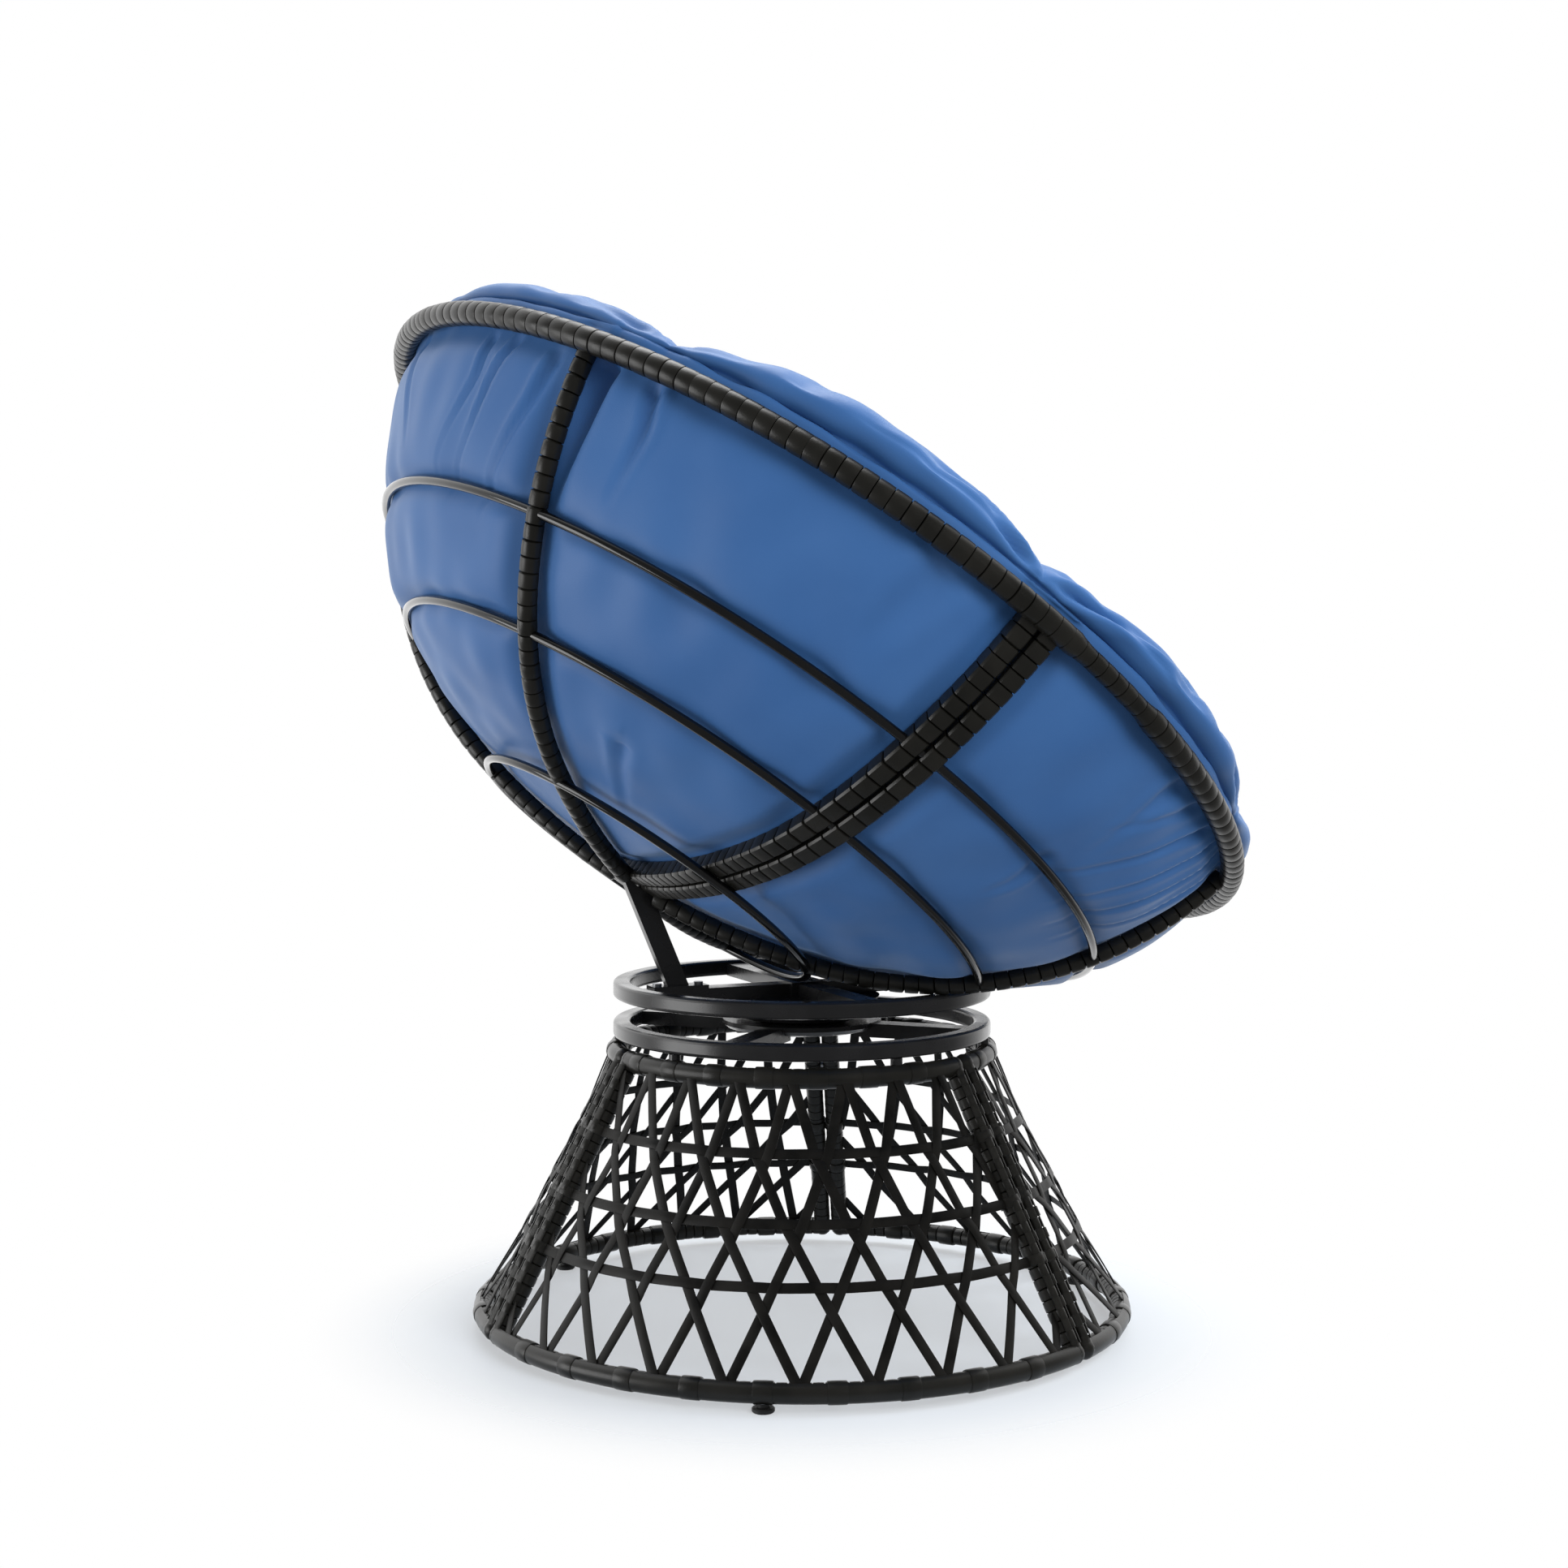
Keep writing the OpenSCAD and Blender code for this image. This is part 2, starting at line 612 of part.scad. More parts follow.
module ring_screws() {
  shade_bright() ring_screw_places() {
    translate([0, 0, top_rail_z - tube_r + 1])
      cylinder(h = ring_screw_head_z - top_rail_z + tube_r - 1, d = ring_screw_head_d);
    translate([0, 0, ring_screw_head_z - 1])
      cylinder(h = ring_screw_end - ring_screw_head_z + 1, d = ring_screw_d);
  }
}

module lower_ring() {
  shade_steel() difference() {
    translate([0, 0, low_ring_z]) rotate_extrude($fn = 128) ring_section();
    ring_screw_places() translate([0, 0, low_ring_z - through])
      cylinder(h = ring_screw_end - low_ring_z + through + 0.5, d = ring_screw_d + 2 * seat_gap);
  }
}

// Box arms that carry the turntable's fixed cup, which is hollowed below for the nut
module lower_spider() {
  start = cup_r * 0.75;
  shade_steel() difference() {
    union() {
      rotate_extrude($fn = 128) polygon([
        [0, cup_under], [cup_r * 0.8, cup_under], [cup_r * 0.94, cup_under + cup_h * 0.25],
        [cup_r, cup_under + cup_h * 0.6], [cup_r, hub_top], [0, hub_top]
      ]);
      intersection() {
        for (i = [0:low_arms - 1]) rotate([0, 0, low_arm_turn + 360 / low_arms * i])
          translate([start, -low_arm_w / 2, low_ring_z + (ring_h - low_arm_h) / 2])
            cube([ring_r - start, low_arm_w, low_arm_h]);
        translate([0, 0, low_ring_z]) cylinder(h = ring_h, r = ring_in_r - seat_gap, $fn = 128);
      }
    }
    translate([0, 0, low_ring_z - through])
      cylinder(h = ring_h + 2 * through, d = bolt_d + 2 * run_gap);
    translate([0, 0, cup_under - through])
      cylinder(h = recess_top - cup_under + through, d = max(washer_d, 2 * nut_r) + 1.5);
  }
}

module lower_race() {
  shade_bright() difference() {
    translate([0, 0, hub_top]) rotate_extrude($fn = 128) polygon([
      [bolt_d / 2 + 2, 0], [race_foot_r, 0], [race_r, (race_top - hub_top) / 3],
      [race_r, race_top - hub_top], [bolt_d / 2 + 2, race_top - hub_top]
    ]);
    torus(ball_circle_r, ball_d + 2 * run_gap, ball_z);
  }
}

module thrust_washer() {
  shade_bright() translate([0, 0, recess_top - washer_t])
    tube(washer_d, bolt_d + 2 * run_gap, washer_t);
}

module ball_places() {
  for (i = [0:balls - 1]) rotate([0, 0, 360 * i / balls])
    translate([ball_circle_r, 0, ball_z]) children();
}

module bearing_balls() {
  shade_bright() ball_places() sphere(d = ball_d, $fn = 32);
}

module ball_cage() {
  color([0.75, 0.62, 0.3]) difference() {
    translate([0, 0, ball_z - cage_t / 2])
      tube(2 * ball_circle_r + cage_w, 2 * ball_circle_r - cage_w, cage_t);
    ball_places() cylinder(h = 2 * through, d = ball_d + 2 * run_gap, center = true);
  }
}

// The turntable's turning half: a race under a dish whose skirt covers the lower race
module upper_race() {
  skirt_z = hub_top + skirt_gap;
  slope = (dish_d - dish_low_d) / 2 / (up_ring_z - skirt_z);
  shade_steel() difference() {
    rotate_extrude($fn = 128) polygon([
      [bolt_d / 2 + seat_gap, race_under],
      [dish_low_d / 2 - skirt_t + (race_under - skirt_z) * slope, race_under],
      [dish_low_d / 2 - skirt_t, skirt_z], [dish_low_d / 2, skirt_z],
      [dish_d / 2, up_ring_z], [bolt_d / 2 + seat_gap, up_ring_z]
    ]);
    torus(ball_circle_r, ball_d + 2 * run_gap, ball_z);
  }
}

module centre_bolt() {
  shade_bright() {
    translate([0, 0, bolt_head_z]) cylinder(h = bolt_head_h, d = bolt_head_d, $fn = 6);
    translate([0, 0, cup_under]) cylinder(h = bolt_head_z - cup_under + 1, d = bolt_d);
  }
}

module lock_nut() {
  shade_bright() translate([0, 0, nut_top - nut_h]) difference() {
    cylinder(h = nut_h, r = nut_r, $fn = 6);
    translate([0, 0, -through]) cylinder(h = nut_h + 2 * through, d = bolt_d + 2 * seat_gap);
  }
}

module bowl_screw_places() {
  for (side = [-1, 1]) translate([side * bowl_screw_at[0], bowl_screw_at[1], 0]) children();
}

module upper_ring() {
  shade_steel() difference() {
    translate([0, 0, up_ring_z]) rotate_extrude($fn = 128) ring_section();
    bowl_screw_places() translate([0, 0, up_ring_z - through]) {
      cylinder(h = ring_h + 2 * through, d = bowl_screw_d + 2 * seat_gap);
      cylinder(h = through + ring_h / 3, d = bowl_screw_d + 4 + 2 * seat_gap);
    }
  }
}

module hub_block() {
  shade_steel() difference() {
    translate([-hub_block_w / 2, -hub_block_w / 2, up_ring_z])
      cube([hub_block_w, hub_block_w, hub_block_top - up_ring_z]);
    translate([0, 0, up_ring_z - through])
      cylinder(h = ring_h + 2 * through, d = bolt_d + 2 * seat_gap);
    translate([0, 0, bolt_head_z]) cylinder(h = ring_h, d = bolt_head_d + 1);
  }
}

// One upper arm, from the hub block to the inside of the upper ring; angle 0 points at -Y
module arm(angle) {
  start = hub_block_w / 2 + seat_gap;
  shade_steel() intersection() {
    rotate([0, 0, angle - 90]) translate([start, -arm_w / 2, up_ring_z])
      cube([ring_r - start, arm_w, arm_h]);
    translate([0, 0, up_ring_z - 1]) cylinder(h = ring_h, r = ring_in_r - seat_gap, $fn = 128);
  }
}

module stay_screw_places() {
  for (side = [-1, 1])
    translate([0, stay_foot_y + side * (stay_plate_l / 2 - stay_screw_d - 1), 0]) children();
}

module arm_rear() {
  shade_steel() difference() {
    arm(180);
    stay_screw_places() translate([0, 0, arm_top - arm_h * 0.8])
      cylinder(h = arm_h, d = stay_screw_d + 2 * seat_gap);
  }
}

// A leaning bar on a foot plate, from the rear arm to the underside of the double rib
module stay() {
  far = 200;
  shade_steel() difference() {
    union() {
      translate([-arm_w / 2, stay_foot_y - stay_plate_l / 2, arm_top])
        cube([arm_w, stay_plate_l, stay_plate_t]);
      intersection() {
        translate([0, stay_foot_y, arm_top]) rotate([-stay_lean, 0, 0])
          translate([-stay_t / 2, -stay_w / 2, -stay_w]) cube([stay_t, stay_w, far]);
        bowl() translate([-far / 2, -far / 2, -twin_depth - twin_w / 2 - seat_gap - far])
          cube([far, far, far]);
        translate([-far / 2, 0, arm_top + stay_plate_t / 2]) cube([far, 2 * far, far]);
      }
    }
    stay_screw_places() translate([0, 0, arm_top - through])
      cylinder(h = 2 * through + stay_plate_t, d = stay_screw_d + 2 * seat_gap);
  }
}

module stay_screws() {
  head_z = arm_top + stay_plate_t + seat_gap;
  shade_bright() stay_screw_places() {
    translate([0, 0, arm_top - arm_h * 0.7])
      cylinder(h = head_z - arm_top + arm_h * 0.7 + 0.5, d = stay_screw_d);
    translate([0, 0, head_z]) cylinder(h = 2, d = stay_screw_d + 3);
  }
}

// Screws up through the upper ring into the two front ribs
module bowl_screws() {
  shade_bright() bowl_screw_places() {
    translate([0, 0, up_ring_z + 0.5]) cylinder(h = ring_h / 3 - 0.5, d = bowl_screw_d + 4);
    translate([0, 0, up_ring_z + ring_h / 3 - 1])
      cylinder(h = bowl_screw_at[2] + 2 - up_ring_z - ring_h / 3, d = bowl_screw_d);
  }
}

module rim() {
  shade_wrap() bowl() torus(rim_r, rim_d, $fn = 180);
}

// What every rib leaves free: the rim and the hoops that pass through it
module bowl_cuts() {
  torus(rim_r, rim_d + 2 * rest_gap, $fn = 180);
  for (i = [0:len(hoop_r) - 1]) hoop_shape(i, hoop_d + 2 * tunnel_gap);
}

// A single rib, from the double rib's side to the rim
module rib(u) {
  shade_wrap() difference() {
    bowl() difference() {
      union() {
        bowl_arc(rib_c1, rib_flat_r, 0, rib_flat_angle + lap_angle, u) circle(d = rib_d, $fn = 32);
        bowl_arc(rib_c2, rib_side_r, rib_flat_angle, rib_end_angle, u)
          circle(d = rib_d + lap_lift, $fn = 32);
      }
      bowl_cuts();
      translate([-rim_r / 4, -twin_half - seat_gap, -rib_depth - rib_d])
        cube([rim_r / 2, 2 * twin_half + 2 * seat_gap, 3 * rib_d]);
    }
    bowl_screw_places() translate([0, 0, ring_top - through])
      cylinder(h = bowl_screw_at[2] + 2 - ring_top + through, d = bowl_screw_d + 2 * seat_gap);
  }
}

// One of the two square tubes of the side rib; side is 1 for the rear one
module side_rib(side) {
  shade_wrap() bowl() difference() {
    translate([0, side * twin_offset, 0]) {
      bowl_arc(twin_c1, twin_flat_r, -twin_flat_angle - lap_angle, twin_flat_angle + lap_angle, 0)
        square(twin_w, center = true);
      for (u = [0, 180]) {
        bowl_arc(twin_c2, twin_shoulder_r, twin_flat_angle, twin_shoulder_angle, u)
          square(twin_w + lap_lift, center = true);
        bowl_arc(twin_c3, twin_side_r, twin_shoulder_angle - lap_angle, twin_end_angle, u)
          square(twin_w, center = true);
      }
    }
    bowl_cuts();
  }
}

// A hoop of round rod; the middle one is open at the front, with its ends in the front ribs
module hoop(i) {
  color([0.05, 0.05, 0.06]) bowl() hoop_shape(i, hoop_d);
}

module hoop_middle() {
  open = rib_angles[3] - rib_angles[2] + 360;
  color([0.05, 0.05, 0.06]) bowl() rotate([0, 0, rib_angles[3]])
    rotate_extrude(angle = 360 - open, $fn = 128) translate([hoop_r[1], hoop_z[1]])
      circle(d = hoop_d, $fn = 32);
}

// The loose cushion: eight puffed lobes round a tufted middle, lapping over the rim
module cushion() {
  lines = [for (i = [0:columns - 1]) cushion_line(360 * i / columns)];
  rings = len(lines[0]);
  bottom = [0, 0, twin_c1[1] - twin_flat_r + cushion_side];
  top = [0, 0, cushion_top(0, 0)];
  side_points = [
    for (j = [0:rings - 1], i = [0:columns - 1])
      let (u = 360 * i / columns, p = lines[i][j])
      above_ring([p[0] * cos(u), p[0] * sin(u), p[1]])
  ];
  last = (rings - 1) * columns;
  faces = concat(
    band_faces(rings, columns),
    [for (i = [0:columns - 1]) [i, (i + 1) % columns, rings * columns]],
    [for (i = [0:columns - 1]) [last + (i + 1) % columns, last + i, rings * columns + 1]]
  );
  shade_cloth() bowl() polyhedron(concat(side_points, [above_ring(bottom), top]), faces);
}

panel_frame(0);  // panel_frame_1
panel_frame(1);  // panel_frame_2
panel_frame(2);  // panel_frame_3
weave_right(0);  // weave_right_1
weave_right(1);  // weave_right_2
weave_right(2);  // weave_right_3
weave_left(0);  // weave_left_1
weave_left(1);  // weave_left_2
weave_left(2);  // weave_left_3
weave_bands(0);  // weave_bands_1
weave_bands(1);  // weave_bands_2
weave_bands(2);  // weave_bands_3
leg_studs();
foot_inserts();
foot(0);  // foot_1
foot(1);  // foot_2
foot(2);  // foot_3
ring_spacers();
ring_screws();
lower_ring();
lower_spider();
lower_race();
thrust_washer();
bearing_balls();
ball_cage();
upper_race();
centre_bolt();
lock_nut();
upper_ring();
hub_block();
arm(0);  // arm_front
arm_rear();
arm(90);  // arm_left
arm(-90);  // arm_right
stay();
stay_screws();
bowl_screws();
rim();
rib(rib_angles[0]);  // rib_rear_left
rib(rib_angles[1]);  // rib_rear_right
rib(rib_angles[2]);  // rib_front_right
rib(rib_angles[3]);  // rib_front_left
side_rib(-1);  // side_rib_front
side_rib(1);  // side_rib_rear
hoop(0);  // hoop_outer
hoop_middle();
hoop(2);  // hoop_inner
cushion();
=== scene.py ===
"""Dresses the swivel lounge chair: wound tubes, a woven base, a soft cushion, light and camera."""
import math
import bmesh
import bpy
import numpy as np
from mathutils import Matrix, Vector


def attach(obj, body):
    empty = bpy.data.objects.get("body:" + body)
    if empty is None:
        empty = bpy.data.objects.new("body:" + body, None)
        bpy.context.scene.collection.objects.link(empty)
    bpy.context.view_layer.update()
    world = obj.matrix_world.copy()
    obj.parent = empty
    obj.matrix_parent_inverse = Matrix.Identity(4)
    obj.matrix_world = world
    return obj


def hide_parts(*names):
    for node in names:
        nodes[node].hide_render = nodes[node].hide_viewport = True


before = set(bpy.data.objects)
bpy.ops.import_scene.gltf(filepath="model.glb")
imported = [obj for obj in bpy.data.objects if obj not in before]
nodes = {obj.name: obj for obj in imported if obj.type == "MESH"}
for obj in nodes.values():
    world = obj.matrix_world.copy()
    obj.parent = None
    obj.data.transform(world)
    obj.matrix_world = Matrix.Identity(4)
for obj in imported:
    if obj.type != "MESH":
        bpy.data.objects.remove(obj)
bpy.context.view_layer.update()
scene = bpy.context.scene
MM = 0.001

# Sizes in millimetres and angles in degrees, as in the construction
RAIL_R = 280.0
RAIL_Z = 15.0
TOP_RAIL_R = 163.0
TOP_RAIL_Z = 238.0
TUBE_R = 8.0
LEG_OFFSET = 8.7
PANEL_TURNS = (30.0, 150.0, 270.0)
PANEL_HALF = 60.0
PANEL_LEN = math.hypot(RAIL_R - TOP_RAIL_R, TOP_RAIL_Z - RAIL_Z)
STRAP_T = 1.3
STRAP_STEP = 2
LOW_PITCH = 11.65
HIGH_PITCH = 15.0
WEAVE_SKEW = 3.0
TILT = math.radians(36.4)
BOWL_FORWARD = 4.0
RIM_R = 423.0
RIM_TUBE_R = 9.5
RIB_R = 7.5
RIB_DEPTH = 268.0
RIB_FLAT_R = 650.0
RIB_FLAT_END = 15.7
RIB_BITE = 2.0
TWIN_HALF = 8.0
TWIN_OFFSET = 9.5
TWIN_RISE = 8.0
TWIN_TIGHTER = 10.0
TWIN_FLAT_END = 20.0
TWIN_SHOULDER_SHARE = 0.82
TWIN_SHOULDER_END = 37.0
RIB_ANGLES = (56.0, 124.0, 236.0, 304.0)
RIB_NAMES = ("rib_rear_left", "rib_rear_right", "rib_front_right", "rib_front_left")
HOOP_R = 3.75
HOOP_SHARES = (0.8534, 0.6915, 0.3865)
HOOP_OUT = 3.0
RING_TOP = 300.0
RING_IN_R = 151.0
RING_OUT_R = 166.0
REST_GAP = 0.2
CUSHION_GAP = 0.6


# The arcs of the ribs' profiles, in the bowl's (radius, height) plane


def heading(angle):
    """Unit vector from an arc's centre to its point at an angle from straight down."""
    return np.array((math.sin(math.radians(angle)), -math.cos(math.radians(angle))))


def closing_radius(centre, radius, angle):
    """Radius of the arc that goes on smoothly from one about centre to the ribs' end."""
    left = np.array((RIM_R - RIM_TUBE_R + RIB_BITE, 0.0)) - centre - radius * heading(angle)
    across = np.array((-math.sin(math.radians(angle)), math.cos(math.radians(angle))))
    return float(left @ left / (2.0 * (left @ across)))


def rib_arcs():
    """Centre, radius and last angle of each arc of a single rib."""
    first = np.array((0.0, RIB_FLAT_R - RIB_DEPTH))
    side_r = closing_radius(first, RIB_FLAT_R, RIB_FLAT_END)
    side = first + (RIB_FLAT_R - side_r) * heading(RIB_FLAT_END)
    return (
        (first, RIB_FLAT_R, RIB_FLAT_END),
        (side, side_r, math.degrees(math.acos(side[1] / side_r))),
    )


def twin_arcs(single_side_r):
    """Centre, radius and last angle of each arc of the double rib."""
    flat_r = RIB_FLAT_R - TWIN_TIGHTER
    first = np.array((0.0, flat_r - RIB_DEPTH + TWIN_RISE))
    shoulder_r = TWIN_SHOULDER_SHARE * single_side_r
    shoulder = first + (flat_r - shoulder_r) * heading(TWIN_FLAT_END)
    side_r = closing_radius(shoulder, shoulder_r, TWIN_SHOULDER_END)
    side = shoulder + (shoulder_r - side_r) * heading(TWIN_SHOULDER_END)
    return (
        (first, flat_r, TWIN_FLAT_END),
        (shoulder, shoulder_r, TWIN_SHOULDER_END),
        (side, side_r, math.degrees(math.acos(side[1] / side_r))),
    )


def arc_profile(arcs, start, step=1.0):
    """(radius, height) points along a rib's arcs from the angle start."""
    points = []
    for centre, radius, end in arcs:
        count = max(3, int((end - start) / step))
        for angle in np.radians(np.linspace(start, end, count))[1 if points else 0:]:
            points.append((centre[0] + radius * math.sin(angle), centre[1] - radius * math.cos(angle)))
        start = end
    return np.array(points)


def twin_outside(radius, out):
    """Height of a circle that lies so far outside the double rib's centre line."""
    for centre, bend, end in TWIN_ARCS:
        if radius < centre[0] + (bend + out) * math.sin(math.radians(end)):
            break
    return float(centre[1] - math.sqrt((bend + out) ** 2 - (radius - centre[0]) ** 2))


def bowl_height():
    """Height of the rim's middle, with the bowl at rest on the upper ring."""
    lowest = 0.0
    u = math.radians(RIB_ANGLES[2])
    for radius, height in arc_profile(RIB_ARCS, start=0.0, step=0.2):
        x = radius * math.cos(u)
        y = radius * math.sin(u)
        turned_y = y * math.cos(TILT) - height * math.sin(TILT) - BOWL_FORWARD
        if RING_IN_R < math.hypot(x, turned_y) < RING_OUT_R:
            lowest = min(lowest, y * math.sin(TILT) + height * math.cos(TILT))
    return RING_TOP + RIB_R + REST_GAP - lowest


RIB_ARCS = rib_arcs()
TWIN_ARCS = twin_arcs(RIB_ARCS[1][1])
INNER_HOOP_OUT = TWIN_HALF + HOOP_R + 2.0 * REST_GAP
HOOPS = [
    (share * RIM_R, twin_outside(share * RIM_R, out))
    for share, out in zip(HOOP_SHARES, (HOOP_OUT, HOOP_OUT, INNER_HOOP_OUT))
]
BOWL_Z = bowl_height()


# Materials. Scales are waves per metre, and the relief's depth is in metres

NOISE_SPAN = (0.3, 0.7)
RELIEF_DEPTH = 0.0004
CLOTH_SHADES = ((58, 100, 157), (66, 108, 165))
SHEEN_SHADE = (190, 215, 245)


def new_material(name):
    material = bpy.data.materials.new(name)
    material.use_nodes = True
    shader = material.node_tree.nodes["Principled BSDF"]
    return material, material.node_tree, shader


def set_inputs(node, values):
    for name, value in values.items():
        node.inputs[name].default_value = value


def add_noise(tree, scale, detail=4.0):
    """Noise in object coordinates."""
    place = tree.nodes.new("ShaderNodeTexCoord")
    noise = tree.nodes.new("ShaderNodeTexNoise")
    set_inputs(noise, {"Scale": scale, "Detail": detail})
    tree.links.new(place.outputs["Object"], noise.inputs["Vector"])
    return noise.outputs["Fac"]


def add_ramp(tree, noise, colours, target):
    """Gives target two colours, and what lies between them, by the noise."""
    ramp = tree.nodes.new("ShaderNodeValToRGB")
    for element, position, colour in zip(ramp.color_ramp.elements, NOISE_SPAN, colours):
        element.position = position
        element.color = colour
    tree.links.new(noise, ramp.inputs["Fac"])
    tree.links.new(ramp.outputs["Color"], target)


def add_range(tree, source, before, after, smooth=False):
    """Maps the range before of source to the range after, whose ends are numbers or sockets."""
    mapping = tree.nodes.new("ShaderNodeMapRange")
    if smooth:
        mapping.interpolation_type = "SMOOTHSTEP"
    tree.links.new(source, mapping.inputs["Value"])
    for name, end in zip(("From Min", "From Max", "To Min", "To Max"), before + after):
        if isinstance(end, float):
            mapping.inputs[name].default_value = end
        else:
            tree.links.new(end, mapping.inputs[name])
    return mapping.outputs["Result"]


def add_relief(tree, shader, strength, scale):
    """A fine grain in the surface."""
    relief = tree.nodes.new("ShaderNodeBump")
    set_inputs(relief, {"Strength": strength, "Distance": RELIEF_DEPTH})
    tree.links.new(add_noise(tree, scale, 3.0), relief.inputs["Height"])
    tree.links.new(relief.outputs["Normal"], shader.inputs["Normal"])


def grey(value):
    return (value, value, value, 1.0)


def srgb(shade):
    """Linear colour of an 8-bit display colour."""
    return tuple((c / 255.0) ** 2.2 for c in shade) + (1.0,)


def worn(name, shades, roughness, scale, relief=None, metallic=0.0, specular=0.5):
    """A surface whose colour and roughness vary a little. relief is a strength and a scale."""
    material, tree, shader = new_material(name)
    noise = add_noise(tree, scale)
    add_ramp(tree, noise, map(srgb, shades), shader.inputs["Base Color"])
    add_ramp(tree, noise, map(grey, roughness), shader.inputs["Roughness"])
    set_inputs(shader, {"Metallic": metallic, "Specular IOR Level": specular})
    if relief:
        add_relief(tree, shader, *relief)
    return material


def cloth(name):
    """Dense blue cloth with a fine grain and a pale sheen at grazing angles."""
    material, tree, shader = new_material(name)
    add_ramp(tree, add_noise(tree, 9.0), map(srgb, CLOTH_SHADES), shader.inputs["Base Color"])
    set_inputs(shader, {"Roughness": 0.5, "Specular IOR Level": 0.3})
    set_inputs(shader, {"Sheen Weight": 0.28, "Sheen Roughness": 0.35, "Sheen Tint": srgb(SHEEN_SHADE)})
    add_relief(tree, shader, 0.25, 1400.0)
    return material


wrap_look = worn(
    "wound_tape", ((26, 26, 24), (36, 35, 32)), (0.3, 0.42), 30.0, relief=(0.25, 900.0), specular=0.38
)
strap_look = worn(
    "woven_strap", ((17, 17, 16), (33, 32, 30)), (0.42, 0.6), 40.0, relief=(0.3, 900.0), specular=0.22
)
steel_look = worn("black_steel", ((29, 29, 30), (37, 37, 38)), (0.2, 0.32), 25.0, relief=(0.06, 700.0))
gloss_look = worn("gloss_steel", ((12, 12, 13), (18, 18, 19)), (0.12, 0.2), 25.0, specular=0.6)
zinc_look = worn("zinc_steel", ((150, 152, 156), (186, 188, 190)), (0.28, 0.42), 60.0, metallic=1.0)
brass_look = worn("cage_brass", ((190, 158, 84), (212, 180, 104)), (0.25, 0.4), 60.0, metallic=1.0)
glide_look = worn("glide", ((22, 22, 22), (36, 36, 36)), (0.5, 0.65), 60.0, relief=(0.2, 900.0))
cloth_look = cloth("cushion_cloth")

# The construction's own pieces, which are seen as they are
CARRIED = (
    (
        steel_look,
        ("lower_ring", "lower_spider", "upper_race", "upper_ring", "hub_block", "ring_spacers", "stay",
         "arm_front", "arm_rear", "arm_left", "arm_right"),
    ),
    (gloss_look, ("hoop_outer", "hoop_middle", "hoop_inner")),
    (
        zinc_look,
        ("leg_studs", "foot_inserts", "ring_screws", "lower_race", "thrust_washer", "bearing_balls",
         "centre_bolt", "lock_nut", "stay_screws", "bowl_screws"),
    ),
    (brass_look, ("ball_cage",)),
    (glide_look, ("foot_1", "foot_2", "foot_3")),
)
for look, names in CARRIED:
    for name in names:
        nodes[name].data.materials.clear()
        nodes[name].data.materials.append(look)


# Meshes

SHARP = math.radians(38.0)
# In metres: points nearer than this become one, and shorter edges go
WELD = 2e-6
LEAST_EDGE = 1e-6


def add_piece(name, points, faces, look, body, stands_for=(), sharp=SHARP):
    """A piece from points in millimetres, smooth apart from edges that turn more than sharp."""
    mesh = bpy.data.meshes.new(name)
    mesh.from_pydata((np.asarray(points) * MM).tolist(), [], faces)
    welded = bmesh.new()
    welded.from_mesh(mesh)
    bmesh.ops.remove_doubles(welded, verts=welded.verts, dist=WELD)
    bmesh.ops.dissolve_degenerate(welded, dist=LEAST_EDGE, edges=welded.edges)
    bmesh.ops.recalc_face_normals(welded, faces=welded.faces)
    for face in welded.faces:
        face.smooth = True
    for edge in welded.edges:
        edge.smooth = edge.calc_face_angle(0.0) < sharp
    welded.to_mesh(mesh)
    welded.free()
    mesh.materials.append(look)
    piece = bpy.data.objects.new(name, mesh)
    scene.collection.objects.link(piece)
    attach(piece, body)
    if stands_for:
        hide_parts(*stands_for)
    return piece


def add_wound(name, points, faces, body, node):
    """A tape-wound piece in place of one node."""
    add_piece(name, points, faces, wrap_look, body, (node,))


def merged(parts):
    """One list of points and faces from several."""
    points = []
    faces = []
    start = 0
    for part_points, part_faces in parts:
        points.append(np.asarray(part_points))
        faces.extend([tuple(i + start for i in face) for face in part_faces])
        start += len(part_points)
    return np.concatenate(points), faces


def grid_faces(rows, columns, closed=False):
    """Faces between rows of points. Each row closes on itself, and so do the rows if closed."""
    faces = []
    for row in range(rows if closed else rows - 1):
        here = row * columns
        there = (row + 1) % rows * columns
        for column in range(columns):
            after = (column + 1) % columns
            faces.append((here + column, here + after, there + after, there + column))
    return faces


def end_faces(rows, columns):
    """Faces that close the first and the last of the rows."""
    last = (rows - 1) * columns
    return [tuple(range(columns))[::-1], tuple(range(last, last + columns))]


def in_chair(p):
    """Points of the bowl's frame in the row frame."""
    p = np.asarray(p, float)
    y = p[..., 1] * math.cos(TILT) - p[..., 2] * math.sin(TILT) - BOWL_FORWARD
    z = p[..., 1] * math.sin(TILT) + p[..., 2] * math.cos(TILT) + BOWL_Z
    return np.stack([p[..., 0], y, z], -1)


def in_chair_direction(v):
    return in_chair(v) - in_chair((0.0, 0.0, 0.0))


def turned(points, degrees):
    """Points turned about the upright axis."""
    c = math.cos(math.radians(degrees))
    s = math.sin(math.radians(degrees))
    p = np.asarray(points, float)
    return np.stack([p[..., 0] * c - p[..., 1] * s, p[..., 0] * s + p[..., 1] * c, p[..., 2]], -1)


def polar(radius, angle, height):
    """Points at an angle in radians about the upright axis."""
    return np.stack(np.broadcast_arrays(radius * np.cos(angle), radius * np.sin(angle), height), -1)


def circle_path(radius, height, start, end, count):
    return polar(radius, np.radians(np.linspace(start, end, count)), height)


def lengths_along(line):
    """Length from the start of a line to each of its points."""
    steps = np.linalg.norm(np.diff(line, axis=0), axis=1)
    return np.concatenate([[0.0], np.cumsum(steps)])


